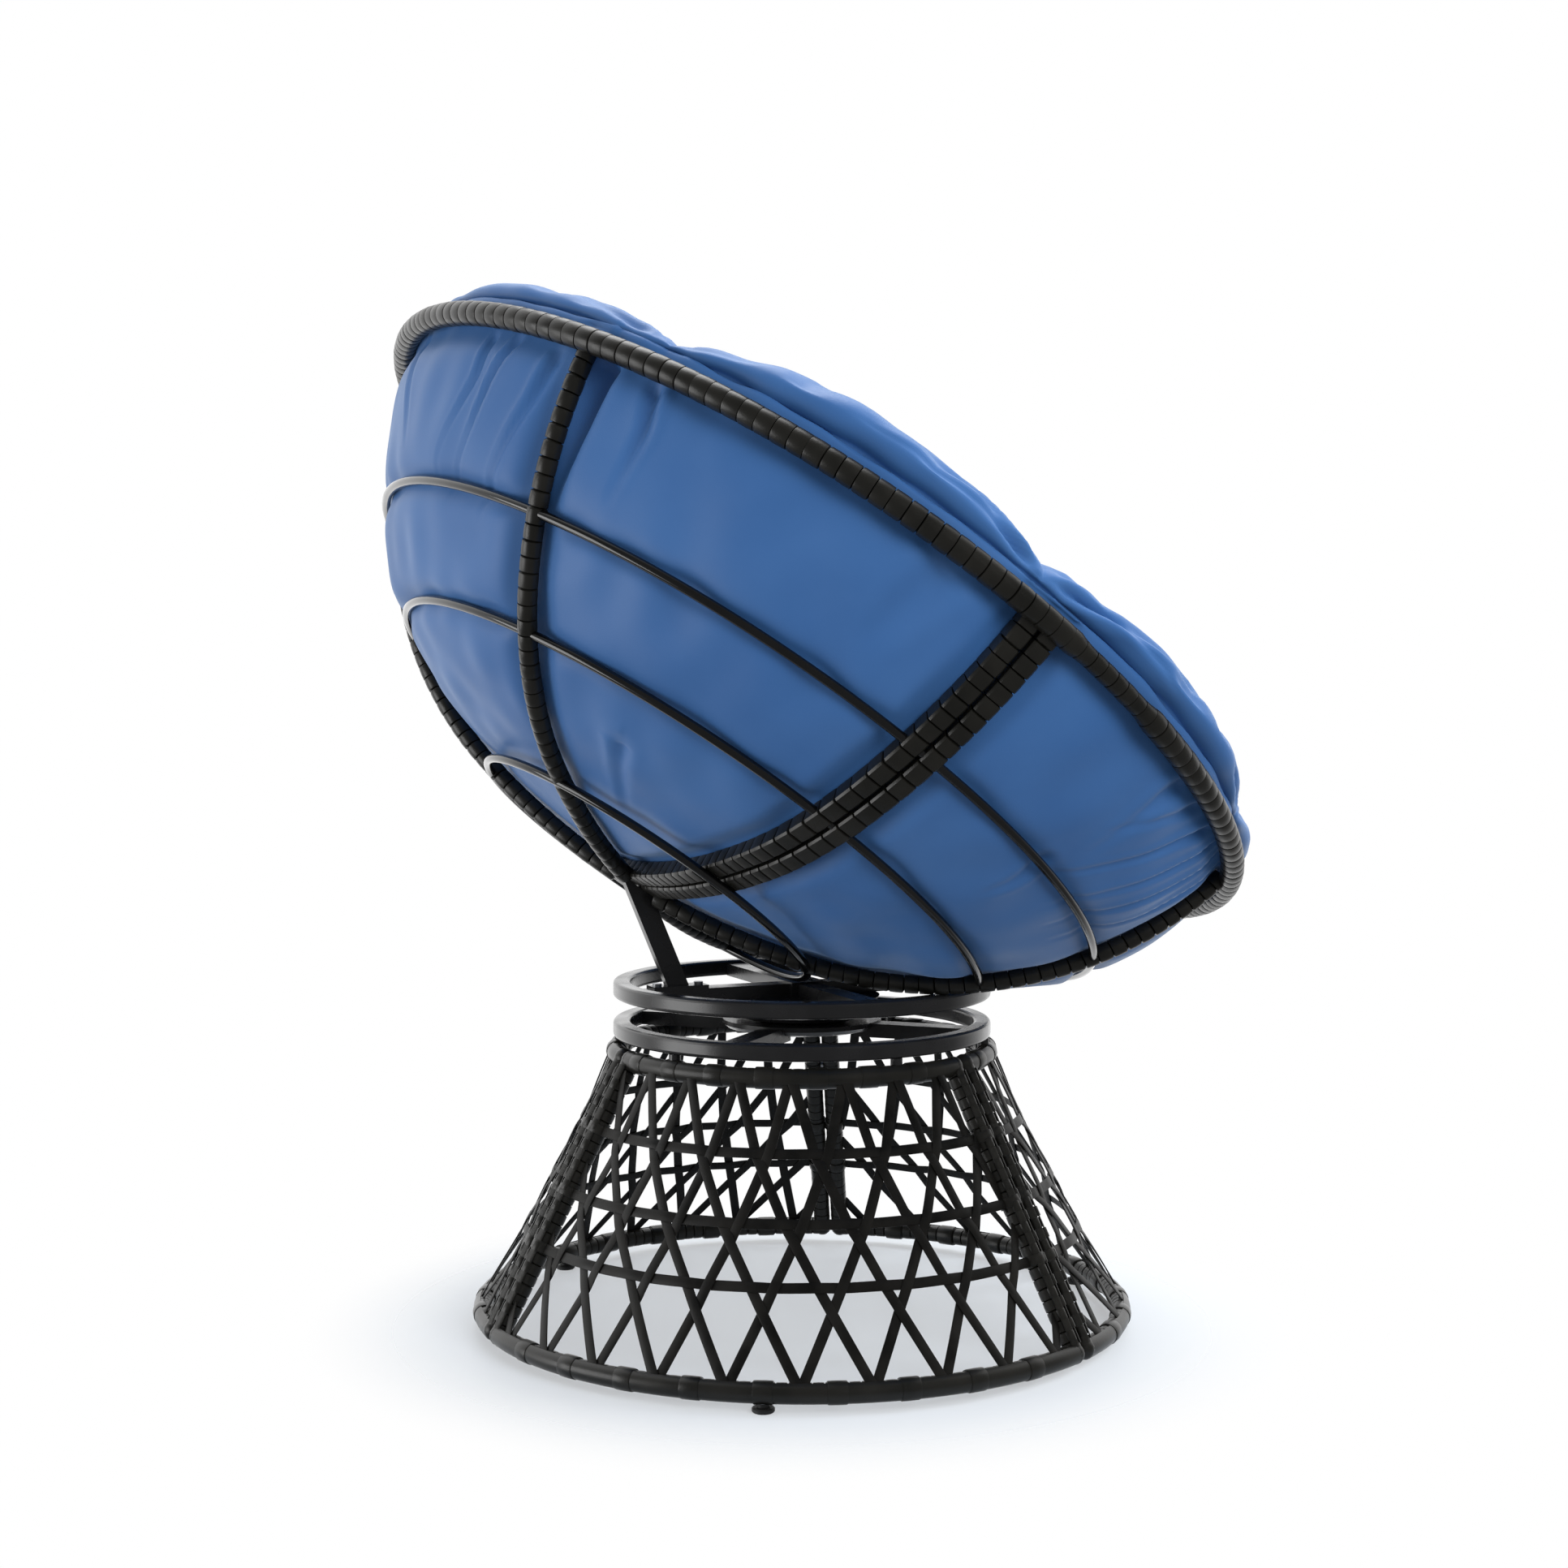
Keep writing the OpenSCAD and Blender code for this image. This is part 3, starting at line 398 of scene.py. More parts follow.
def unit(vectors):
    return vectors / np.linalg.norm(vectors, axis=-1, keepdims=True)


def sweep(path, normals, section):
    """A closed section carried along path; normals point to the section's second axis."""
    tangents = unit(np.gradient(path, axis=0))
    side = unit(np.cross(tangents, normals))
    up = np.cross(side, tangents)
    section = np.array(section)
    points = (
        path[:, None, :]
        + section[None, :, :1] * side[:, None, :]
        + section[None, :, 1:] * up[:, None, :]
    )
    size = (len(path), len(section))
    return points.reshape(-1, 3), grid_faces(*size) + end_faces(*size)


# Tubes wound with tape

# One turn of tape: where across its width, and how far over the tube
TAPE = ((0.0, -2.2), (0.05, -0.05), (0.1, 0.12), (0.5, 0.26), (0.9, 0.12), (0.95, -0.05))
LEG_TAPE = ((0.0, -1.6), (0.07, 0.0), (0.5, 0.15), (0.93, 0.0))
# In turns: how a turn leans, how that varies and how far it is out of place. Then how its height varies
TAPE_LEAN = 0.05
TAPE_LEAN_VARIES = 0.03
TAPE_SHIFT = 0.04
TAPE_SWELL = 0.1
# Power of the curve that is a square tube's section
SQUARENESS = 9


def wind(length, pitch):
    """The turns on a length, and a ruler with the number of turns wound at each of its marks."""
    ruler = np.linspace(0.0, length, 1200)
    rate = 1.0 / (pitch(ruler, length) if callable(pitch) else np.full(len(ruler), float(pitch)))
    wound = np.concatenate([[0.0], np.cumsum((rate[1:] + rate[:-1]) / 2.0 * np.diff(ruler))])
    turns = int(round(wound[-1]))
    return turns, ruler, wound * (turns / wound[-1])


def wound_tube(path, normal, radius, pitch, closed=False, sides=18, square=False, seed=1, tape=TAPE):
    """A tube along a flat path, wound with tape. normal is square to the path's plane.

    radius and pitch are numbers or functions of the length.
    """
    if closed:
        path = np.vstack([path, path[:1]])
    along = lengths_along(path)
    tangents = np.gradient(path, along, axis=0)
    if closed:
        tangents[0] = tangents[-1] = (path[1] - path[-2]) / 2.0
    turns, ruler, wound = wind(along[-1], pitch)
    chance = np.random.RandomState(seed)
    shift, swell, lean = chance.uniform(-1.0, 1.0, (3, turns))
    angle = math.tau * np.arange(sides) / sides
    turn, part = np.divmod(np.arange(turns * len(tape)), len(tape))
    share, lift = np.array(tape)[part].T
    # What is a turn's own fades across its width, so that it meets the next turn
    slant = TAPE_LEAN + TAPE_LEAN_VARIES * lean[turn]
    place = turn + share + TAPE_SHIFT * shift[turn] * (1.0 - share)
    place = place[:, None] + (slant * (1.0 - share))[:, None] * np.cos(angle)
    if not closed:
        place = np.vstack([place, np.full((1, sides), float(turns))])
        place[0] = 0.0
        turn = np.append(turn, turns - 1)
        lift = np.append(lift, tape[0][1])
    s = np.interp(place % turns if closed else place, wound, ruler)
    centre = np.stack([np.interp(s, along, path[:, i]) for i in range(3)], -1)
    tangent = np.stack([np.interp(s, along, tangents[:, i]) for i in range(3)], -1)
    normal = unit(normal)
    side = np.cross(normal, unit(tangent))
    size = radius(s) if callable(radius) else np.full(s.shape, float(radius))
    if square:
        reach = np.abs(np.cos(angle)) ** SQUARENESS + np.abs(np.sin(angle)) ** SQUARENESS
        size = size / reach ** (1.0 / SQUARENESS)
    size = size + (lift + TAPE_SWELL * swell[turn])[:, None]
    points = centre + size[..., None] * (
        np.cos(angle)[None, :, None] * side + np.sin(angle)[None, :, None] * normal
    )
    faces = grid_faces(len(points), sides, closed)
    if not closed:
        faces += end_faces(len(points), sides)
    return points.reshape(-1, 3), faces


# The bowl's frame

RIM_SEED = 3
RIB_SEED = 10
TWIN_SEED = 20
RIM_PITCH = 13.6
RIB_PITCH = 12.7
# Where the rim's ends are joined, in degrees, and how the tube and its turns differ there
RIM_JOINT_AT = 190.0
RIM_JOINT_HALF = 42.0
RIM_JOINT_FADE = 12.0
RIM_JOINT_THINNER = 2.0
RIM_JOINT_CLOSER = 1.6
RIM_STEPS = 720
# Where the single ribs begin beside the double rib
RIB_START = 1.75
# The double rib is wound more widely at its shoulders. Lengths are from its middle
TWIN_PITCH_AT = (225.0, 245.0, 395.0, 415.0)
TWIN_PITCHES = (12.3, 17.2, 17.2, 13.2)


def rim_joint(s):
    """1 where the rim's ends are joined, else 0."""
    away = np.abs(s - math.radians(RIM_JOINT_AT) * RIM_R)
    return np.clip((RIM_JOINT_HALF + RIM_JOINT_FADE / 2.0 - away) / RIM_JOINT_FADE, 0.0, 1.0)


def rim_radius(s):
    return RIM_TUBE_R - RIM_JOINT_THINNER * rim_joint(s)


def rim_pitch(s, length):
    return RIM_PITCH - RIM_JOINT_CLOSER * rim_joint(s)


def twin_pitch(s, length):
    return np.interp(np.abs(s - length / 2.0), TWIN_PITCH_AT, TWIN_PITCHES)


def add_rim():
    path = in_chair(circle_path(RIM_R, 0.0, 0.0, 360.0, RIM_STEPS + 1)[:-1])
    up = in_chair_direction((0.0, 0.0, 1.0))
    points, faces = wound_tube(path, up, rim_radius, rim_pitch, closed=True, sides=24, seed=RIM_SEED)
    add_wound("rim_wound", points, faces, "seat_frame", "rim")


def add_ribs():
    """The four single ribs."""
    for number, (name, angle) in enumerate(zip(RIB_NAMES, RIB_ANGLES)):
        profile = arc_profile(RIB_ARCS, RIB_START)
        u = math.radians(angle)
        path = polar(profile[:, 0], u, profile[:, 1])
        across = in_chair_direction((-math.sin(u), math.cos(u), 0.0))
        seed = RIB_SEED + number
        points, faces = wound_tube(in_chair(path), across, RIB_R, RIB_PITCH, sides=20, seed=seed)
        add_wound(name + "_wound", points, faces, "seat_frame", name)


def add_side_ribs():
    """The two square tubes of the double rib."""
    half = arc_profile(TWIN_ARCS, 0.0)
    profile = np.vstack([half[::-1] * (-1.0, 1.0), half[1:]])
    across = in_chair_direction((0.0, 1.0, 0.0))
    for side, name in ((-1, "side_rib_front"), (1, "side_rib_rear")):
        path = np.stack([profile[:, 0], np.full(len(profile), side * TWIN_OFFSET), profile[:, 1]], -1)
        points, faces = wound_tube(
            in_chair(path), across, TWIN_HALF, twin_pitch, sides=28, square=True, seed=TWIN_SEED + side
        )
        add_wound(name + "_wound", points, faces, "seat_frame", name)


# The woven base

# Widths in millimetres, and heights as shares of a panel's slope
STRAP_W = 8.4
BANDS_AT = (0.32, 0.52, 0.748)
# Where the straps change sides between the bands
ROWS_AT = (0.24, 0.46, 0.695)
# How much of their lean the straps have made at the rails and bands, where they bend
LEAN_AT = (0.0, 0.285, 0.51, 0.765, 1.0)
# A strap's section, in halves of its width and thickness
STRIP = (
    (-1.0, -0.45), (-0.86, -1.0), (0.86, -1.0), (1.0, -0.45),
    (1.0, 0.45), (0.86, 1.0), (-0.86, 1.0), (-1.0, 0.45),
)
WEAVE_LIFT = 0.78
# How far straps and bands go under the legs, and how far from a rail's middle straps end
LEG_LAP = 3.0
STRAP_END = 3.0
# How far before a rail a strap starts to move to the rail's outer side, and how far out it ends
TUCK = 58.0
TUCK_OUT = 4.5
TUCK_APART = 0.75
# Straps that are a smaller share of a panel's slope are left out
LEAST_STRAP = 0.03
STRAP_STEPS = 110
BAND_STEPS = 160

RAIL_SEED = 30
TOP_RAIL_SEED = 40
LEG_SEED = 50
FRAME_PITCH = 9.5
# A thin smooth cover lies over the outer side of each rail
COVER_HALF = 72.0
COVER_OUT = 0.6
COVER_IN = 0.3
# A raised turn of tape holds the straps on a rail. Its section is in widths and millimetres
RAIL_WRAP = 15.5
WRAP_CLEAR = 4.0
LOOP = ((-0.5, -0.9), (-0.5, 0.3), (-0.45, 0.6), (0.0, 0.7), (0.45, 0.6), (0.5, 0.3), (0.5, -0.9))
# Two strips run down the outer side of each leg, and the turns pass over them in alternation
LEG_STRIP_W = 6.6
LEG_STRIP_T = 1.2
LEG_STRIP_AT = 30.0
LEG_STRIP_OUT = 0.5
RAISED_W = 8.4
RAISED_R = 10.1
RAISED_T = 1.6
RAISED_HALF = 27.0
RAISED_TUCK = 1.7
RAISED_BEVEL = (0.6, 0.3)
# How far the tape stands out at a panel's corners and where bands end
CORNER_OUT = 0.9


def panel_out(f, d):
    """Radius and height of a panel's surface at the height fraction f, d outside its middle."""
    f = np.asarray(f, float)
    slope_out = (TOP_RAIL_Z - RAIL_Z) / PANEL_LEN
    slope_up = (RAIL_R - TOP_RAIL_R) / PANEL_LEN
    return (
        RAIL_R - (RAIL_R - TOP_RAIL_R) * f + d * slope_out,
        RAIL_Z + (TOP_RAIL_Z - RAIL_Z) * f + d * slope_up,
    )


def on_panel(f, d, angle):
    """Points of a panel's surface, as panel_out, at an angle from its middle."""
    radius, height = panel_out(f, d)
    return polar(radius, np.radians(angle), height)


def panel_line(f, d, angle):
    """A line on a panel's surface, and its normals."""
    path = on_panel(f, d, angle)
    return path, on_panel(f, d + 1.0, angle) - path


def strap_angle(k, way, f):
    """Angle of a strap at the height fraction f. It runs straight from band to band."""
    bends = np.array((0.0, *BANDS_AT, 1.0))
    lean = np.array(LEAN_AT)
    low = LOW_PITCH * (k + way * STRAP_STEP + 0.5)
    high = HIGH_PITCH * k + WEAVE_SKEW
    angles = np.radians(high * lean + low * (1.0 - lean))
    radii = panel_out(bends, 0.0)[0]
    along = np.interp(f, bends, radii * np.cos(angles))
    aside = np.interp(f, bends, radii * np.sin(angles))
    return np.degrees(np.arctan2(aside, along))


def free_angle(f, margin):
    """Half the angle of a panel between its legs and a margin, at the height fraction f."""
    radius = panel_out(f, 0.0)[0]
    return PANEL_HALF - np.degrees(np.arcsin((LEG_OFFSET + TUBE_R + margin) / radius))


def smooth_through(x, knots):
    """Level at each knot and a smooth rise or fall between them."""
    xs = np.array([knot[0] for knot in knots])
    ys = np.array([knot[1] for knot in knots])
    i = np.clip(np.searchsorted(xs, x) - 1, 0, len(xs) - 2)
    t = np.clip((x - xs[i]) / (xs[i + 1] - xs[i]), 0.0, 1.0)
    t = t * t * (3.0 - 2.0 * t)
    return ys[i] * (1.0 - t) + ys[i + 1] * t


def strip(path, normals, width, thickness):
    """A flat strip along path; normals point out of its broad side."""
    return sweep(path, normals, np.array(STRIP) * (width / 2.0, thickness / 2.0))


def weave_strap(k, way):
    """One strap's path and normals in its panel's frame, or None where none of it is free."""
    f = np.linspace(STRAP_END / PANEL_LEN, 1.0 - STRAP_END / PANEL_LEN, 181)
    free = np.abs(strap_angle(k, way, f)) < free_angle(f, -LEG_LAP)
    if not free.any():
        return None
    start, end = f[free][[0, -1]]
    if end - start < LEAST_STRAP:
        return None
    f = np.linspace(start, end, max(8, int((end - start) * STRAP_STEPS)))
    knots = [(0.0, way * WEAVE_LIFT)]
    for row, band in zip(ROWS_AT, BANDS_AT):
        knots.append((row, way * WEAVE_LIFT))
        knots.append((band, -way * WEAVE_LIFT))
    knots.append((1.0, way * WEAVE_LIFT))
    to_rail = np.minimum(f, 1.0 - f) * PANEL_LEN
    tuck = np.clip(1.0 - (to_rail - STRAP_END) / TUCK, 0.0, 1.0)
    d = smooth_through(f, knots) * (1.0 - tuck) + (TUCK_OUT + TUCK_APART * way) * tuck
    return panel_line(f, d, strap_angle(k, way, f))


def band_path(f):
    """A level band that passes over right-going and under left-going straps."""
    half = float(free_angle(f, -LEG_LAP))
    angle = np.linspace(-half, half, BAND_STEPS)
    knots = []
    for k in range(-10, 11):
        knots.append((strap_angle(k, 1, f), WEAVE_LIFT))
        knots.append((strap_angle(k, -1, f), -WEAVE_LIFT))
    knots.sort()
    return panel_line(f, smooth_through(angle, knots), angle)


def cover_section():
    angles = np.radians(np.linspace(-COVER_HALF, COVER_HALF, 13))
    arc = np.stack([np.sin(angles), np.cos(angles)], -1)
    return np.vstack([arc * (TUBE_R + COVER_OUT), arc[::-1] * (TUBE_R - COVER_IN)])


def raised_turn(centre, axis, out):
    """The part of a turn of tape that passes over a strip. out points through its middle."""
    angles = np.radians(np.linspace(-RAISED_HALF, RAISED_HALF, 9))
    radial = np.cos(angles)[:, None] * out + np.sin(angles)[:, None] * np.cross(axis, out)
    radii = RAISED_R - RAISED_TUCK * (angles / angles[-1]) ** 4
    half = RAISED_W / 2.0
    across, down = RAISED_BEVEL
    section = (
        (-half, -RAISED_T), (-half, -down), (across - half, 0.0),
        (half - across, 0.0), (half, -down), (half, -RAISED_T),
    )
    return sweep(centre + radial * radii[:, None], radial, section)


def loop_round(centre, axis, radius, width, sides=20):
    """A raised turn of tape round a tube."""
    other = (0.0, 0.0, 1.0) if abs(axis[2]) < 0.7 else (1.0, 0.0, 0.0)
    side = unit(np.cross(other, axis))
    up = np.cross(axis, side)
    angles = math.tau * np.arange(sides)[:, None, None] / sides
    out = np.cos(angles) * side + np.sin(angles) * up
    section = np.array(LOOP)[None]
    points = centre + out * (radius + section[..., 1:]) + axis * section[..., :1] * width
    return points.reshape(-1, 3), grid_faces(sides, len(LOOP), closed=True)


def ball(centre, radius, sides=16):
    rings = sides // 2 - 1
    fall = math.pi * np.arange(1, rings + 1)[:, None] / (rings + 1)
    turn = math.tau * np.arange(sides) / sides
    rows = polar(np.sin(fall), turn, np.cos(fall))
    top = rings * sides
    poles = ((0.0, 0.0, 1.0), (0.0, 0.0, -1.0))
    points = np.vstack([rows.reshape(-1, 3), poles]) * radius + centre
    faces = grid_faces(rings, sides)
    for j in range(sides):
        after = (j + 1) % sides
        faces.append((top, after, j))
        faces.append((top + 1, top - sides + j, top - sides + after))
    return points, faces


def frame_tube(path, normal, seed):
    return wound_tube(path, normal, TUBE_R, FRAME_PITCH, sides=16, seed=seed, tape=LEG_TAPE)


def rail_parts(number):
    """The wound rails of one panel, and the covers over them."""
    parts = []
    for radius, height, seed in ((RAIL_R, RAIL_Z, RAIL_SEED), (TOP_RAIL_R, TOP_RAIL_Z, TOP_RAIL_SEED)):
        half = PANEL_HALF - math.degrees(math.asin(LEG_OFFSET / radius))
        path = circle_path(radius, height, -half, half, 120)
        parts.append(frame_tube(path, (0.0, 0.0, 1.0), seed + number))
        parts.append(sweep(path, path * (1.0, 1.0, 0.0), cover_section()))
    return parts


def leg_end(side, radius, height):
    """The corner of a panel's frame on one side of a rail."""
    along = math.sqrt(radius ** 2 - LEG_OFFSET ** 2)
    return turned((along, -side * LEG_OFFSET, height), side * PANEL_HALF)


def leg_parts(number, side):
    """One wound leg of a panel, its corners, its strips and the turns raised over them."""
    foot = leg_end(side, RAIL_R, RAIL_Z)
    head = leg_end(side, TOP_RAIL_R, TOP_RAIL_Z)
    path = np.linspace(foot, head, 40)
    way = unit(head - foot)
    across = np.cross(way, (0.0, 0.0, 1.0))
    outward = np.cross(across, way)
    outward *= np.sign(outward[:2] @ foot[:2]) / np.linalg.norm(outward)
    parts = [
        frame_tube(path, across, LEG_SEED + 2 * number + side),
        ball(foot, TUBE_R + CORNER_OUT),
        ball(head, TUBE_R + CORNER_OUT),
    ]
    turns = round(PANEL_LEN / FRAME_PITCH)
    for column in (0, 1):
        lean = math.radians(LEG_STRIP_AT) * (2 * column - 1)
        out = math.cos(lean) * outward + math.sin(lean) * np.cross(way, outward)
        middle = path[1:-1] + out * (TUBE_R + LEG_STRIP_OUT)
        parts.append(strip(middle, np.tile(out, (len(middle), 1)), LEG_STRIP_W, LEG_STRIP_T))
        for i in range(1 + column, turns - 1, 2):
            parts.append(raised_turn(foot + way * PANEL_LEN * (i + 0.5) / turns, way, out))
    for f in BANDS_AT:
        parts.append(loop_round(foot + way * PANEL_LEN * f, way, TUBE_R + CORNER_OUT, STRAP_W))
    return parts


def rail_wraps():
    """The raised turns round the rails of one panel, where its straps end."""
    parts = []
    for f, radius, height, pitch, start in (
        (0.0, RAIL_R, RAIL_Z, LOW_PITCH, 0.0),
        (1.0, TOP_RAIL_R, TOP_RAIL_Z, HIGH_PITCH, HIGH_PITCH * 0.5 + WEAVE_SKEW),
    ):
        for k in range(-6, 7):
            angle = pitch * k + start
            if abs(angle) <= free_angle(f, WRAP_CLEAR):
                centre = turned((radius, 0.0, height), angle)
                axis = turned((0.0, 1.0, 0.0), angle)
                parts.append(loop_round(centre, axis, TUBE_R + COVER_OUT, RAIL_WRAP))
    return parts


def add_panel(number, turn):
    """One panel of the base: wound frame, two families of straps and level bands."""
    label = str(number + 1)
    parts = rail_parts(number) + leg_parts(number, -1) + leg_parts(number, 1) + rail_wraps()
    points, faces = merged(parts)
    add_wound("panel_" + label + "_wound", turned(points, turn), faces, "base", "panel_frame_" + label)
    for way, word in ((1, "right"), (-1, "left")):
        found = [weave_strap(k, way) for k in range(-9, 10)]
        points, faces = merged([strip(*strap, STRAP_W, STRAP_T) for strap in found if strap])
        name = "straps_" + word + "_" + label
        node = "weave_" + word + "_" + label
        add_piece(name, turned(points, turn), faces, strap_look, "base", (node,))
    points, faces = merged([strip(*band_path(f), STRAP_W, STRAP_T) for f in BANDS_AT])
    node = "weave_bands_" + label
    add_piece("straps_level_" + label, turned(points, turn), faces, strap_look, "base", (node,))


# The cushion

CUSHION_COLUMNS = 720
SEAM_Z = 20.0
SEAM_R = 419.0
CROWN_Z = 52.0
CROWN_R = 372.0
DISH_DEPTH = 138.0
LOBES = 8
# How far the cushion is turned in the bowl
CUSHION_TURN = -2.5
CHANNEL = 14.0
# Depth of each channel at the cushion's edge
EDGE_CHANNELS = (14.0, 14.0, 16.0, 27.0, 11.0, 15.0, 14.0, 14.0)
# How far each lobe swells out over the seam, and how high it stands over the crown
LOBE_PUFF = (9.0, 8.0, 5.0, 16.0, 17.0, 10.0, 9.0, 9.0)
LOBE_RISE = (0.0, -2.0, -5.0, 6.0, 2.0, 0.0, 0.0, -1.0)
TUFT = 9.0
TUFT_R = 24.0
REST = TWIN_HALF + CUSHION_GAP
# The skin stays this far over the upper ring, and nears it this softly
RING_CLEAR = 0.4
RING_SOFT = 1.2

# The skin's rows from the rim to the seam, as radius and height, and over the seam, from its middle.
# Up to EDGE_FULL they leave the rim's shape. They swell past it at most, and are drawn in at the channels
EDGE_FULL = 14.0
EDGE_ROWS = (
    (412.8, 3.0), (414.0, 5.5), (416.0, 8.0), (418.2, 11.0), (SEAM_R, EDGE_FULL), (SEAM_R + 0.4, 16.8),
)
EDGE_SWELL = 9.0
EDGE_DRAW = 5.0
SEAM_ROWS = ((-0.4, -1.5), (-2.2, -0.7), (-4.2, 0.0), (-2.2, 0.7), (0.4, 1.5))
SHOULDER_ROWS = 22
TOP_ROWS = 78

# Swelling beside a member: the most, how far from its middle it starts, and how slowly it grows
RIM_SWELL = (16.0, 5.0, 24.0)
RIB_SWELL = (22.0, 3.0, 32.0)
TWIN_SWELL = (24.0, 2.0 * TWIN_HALF + 1.5, 24.0)
HOOP_SWELL = (12.0, 1.0, 15.0)
# How far the skin stands out beside the rim, and how far it stays inside ribs and hoops
RIM_HOLD = 5.0
RIB_CLEAR = 1.0
HOOP_CLEAR = 0.8
# How far the skin may pass the single ribs' middle, what front and rear add, and how far at the bottom
CEILING = 0.5
FRONT_CEILING = 14.0
REAR_CEILING = 3.5
LOW_CEILING = -7.0

# The cloth simulation of the top, on a coarser grid
ROW_STEP = 2
COLUMN_STEP = 5
CLOTH_FRAMES = 20
SWELL_CAP = 12.0
PINNED_SHARE = 0.06

# Low waves over the whole skin: waves round it, phase and height
WAVES = ((3, 0.4, 0.5), (5, 2.1, 0.45), (11, 4.0, 0.3), (17, 1.3, 0.2))
RIPPLES = 14
RIPPLE_LENGTHS = (45.0, 120.0)
RIPPLE_HEIGHT = 0.32
RIPPLE_SEED = 11
NOTCH_SEED = 7

# Folds that run down from the rim: places (turn in degrees, length along a rib from the pole), then half
# the fold's width, its depth and the side of its ridge
RIB_LENGTH = 535.0
FOLDS = (
    (((108, 526), (108, 492), (106, 457), (101, 400)), 3.6, 3.6, 1),
    (((113, 527), (111, 493), (110, 450), (105, 385)), 3.6, 4.2, 1),
    (((120, 524), (119, 480), (116, 424), (113, 380)), 5.0, 4.5, 1),
    (((126.4, 532), (126.2, 492), (126, 462), (125.5, 405)), 11.0, 19.0, 1),
    (((133.5, 527), (134.5, 495), (134, 465), (133.5, 430)), 6.0, 7.0, -1),
    (((144.5, 250), (144.5, 203), (146.5, 150)), 8.0, 4.0, 1),
    (((169, 523), (168, 481), (167, 440)), 14.0, 4.0, 0),
    (((209, 531), (207, 510), (207, 487), (207.5, 430)), 8.0, 5.0, 1),
    (((214.5, 532), (210, 500), (205, 450)), 5.0, 3.5, 1),
    (((220, 532), (216.5, 504), (213.5, 466), (206, 385)), 5.0, 5.5, 1),
    (((224, 532), (221.5, 499), (218.5, 460), (212, 375)), 4.5, 5.0, 1),
    (((228, 532), (225.5, 492), (222.5, 454), (217, 365)), 4.5, 5.5, 1),
    (((232, 532), (229.5, 490), (227, 444), (222, 365)), 5.0, 5.5, 1),
    (((204, 410), (204.5, 376), (203.5, 350)), 6.0, 2.5, 0),
    (((250, 530), (252, 480), (256, 430)), 7.0, 4.0, 1),
    (((272, 530), (270, 470), (269, 420)), 8.0, 4.0, -1),
    (((290, 530), (287, 480), (284, 430)), 7.0, 4.0, 1),
    (((330, 528), (327, 480), (325, 420)), 7.0, 4.0, -1),
    (((20, 528), (24, 480), (26, 430)), 7.0, 4.0, 1),
    (((66, 528), (68, 480), (70, 430)), 7.0, 4.0, -1),
    (((88, 528), (90, 480), (92, 430)), 6.0, 3.0, 1),
)
# Folds over the seam: places (turn in degrees, rows above the seam), then the same
TOP_FOLDS = (
    (((179, 2), (186, 7), (193, 5), (198, 2)), 4.0, 3.5, 1),
    (((180.5, 3), (190, 10), (202, 13), (216, 9)), 6.0, 4.5, 1),
    (((176, 2), (170, 6), (162, 7), (152, 4)), 4.5, 3.5, 1),
    (((175, 3), (168, 12), (158, 15), (146, 13)), 6.0, 3.5, 1),
    (((220, 3), (212, 8), (204, 9)), 5.0, 3.0, 1),
    (((129, 3), (120, 9), (110, 10)), 5.0, 3.0, 1),
)


def lobe(u, power):
    """0 at the channels and 1 in the middle of the lobes."""
    return np.abs(np.sin(LOBES * (u - math.radians(CUSHION_TURN)) / 2.0)) ** power


def rib_excess(radius, height):
    """Signed distance outside the single ribs' centre line, in the bowl's (radius, height) plane."""
    (c1, r1, turn), (c2, r2, _) = RIB_ARCS
    a = np.hypot(radius - c1[0], height - c1[1]) - r1
    b = np.hypot(radius - c2[0], height - c2[1]) - r2
    flat = np.arctan2(radius - c1[0], c1[1] - height) < math.radians(turn)
    return np.where(flat, a, b)


def swell_beside(x, swell):
    """Swelling at the distance x from a member's middle."""
    most, start, growth = swell
    return most * (1.0 - np.exp(-((np.maximum(x - start, 0.0) / growth) ** 2)))


def least_of(limits, softness=2.6):
    """The least of the limits, with soft changes from one to the next."""
    total = limits[0]
    for limit in limits[1:]:
        total = -softness * np.logaddexp(-total / softness, -limit / softness)
    return total


def swelling(radius, height, u, to_rim):
    """How far the cushion puffs out past the double rib's inner side, between ribs, hoops and rim."""
    inside = -rib_excess(radius, height)
    front = np.clip((np.cos(u - math.radians(270.0)) - 0.81) / 0.12, 0.0, 1.0)
    rear = np.clip((np.cos(u - math.radians(90.0)) - 0.75) / 0.15, 0.0, 1.0)
    low = np.clip((300.0 - radius) / 140.0, 0.0, 1.0)
    ceiling = (CEILING + FRONT_CEILING * front + REAR_CEILING * rear) * (1.0 - low) + LOW_CEILING * low
    limits = [inside + ceiling, RIM_HOLD + swell_beside(to_rim, RIM_SWELL)]
    for angle in RIB_ANGLES:
        turn = u - math.radians(angle)
        across = np.where(np.cos(turn) > 0.0, radius * np.abs(np.sin(turn)), np.inf)
        limits.append(inside - RIB_R - RIB_CLEAR + swell_beside(across, RIB_SWELL))
    limits.append(swell_beside(np.abs(radius * np.sin(u)), TWIN_SWELL))
    for hoop_radius, hoop_height in HOOPS:
        out = rib_excess(np.array(hoop_radius), np.array(hoop_height)) + inside
        away = np.hypot(radius - hoop_radius, height - hoop_height)
        along = np.sqrt(np.maximum(away ** 2 - out ** 2, 0.0))
        limits.append(out - HOOP_R - HOOP_CLEAR + swell_beside(along, HOOP_SWELL))
    return np.maximum(least_of(limits), 0.0)


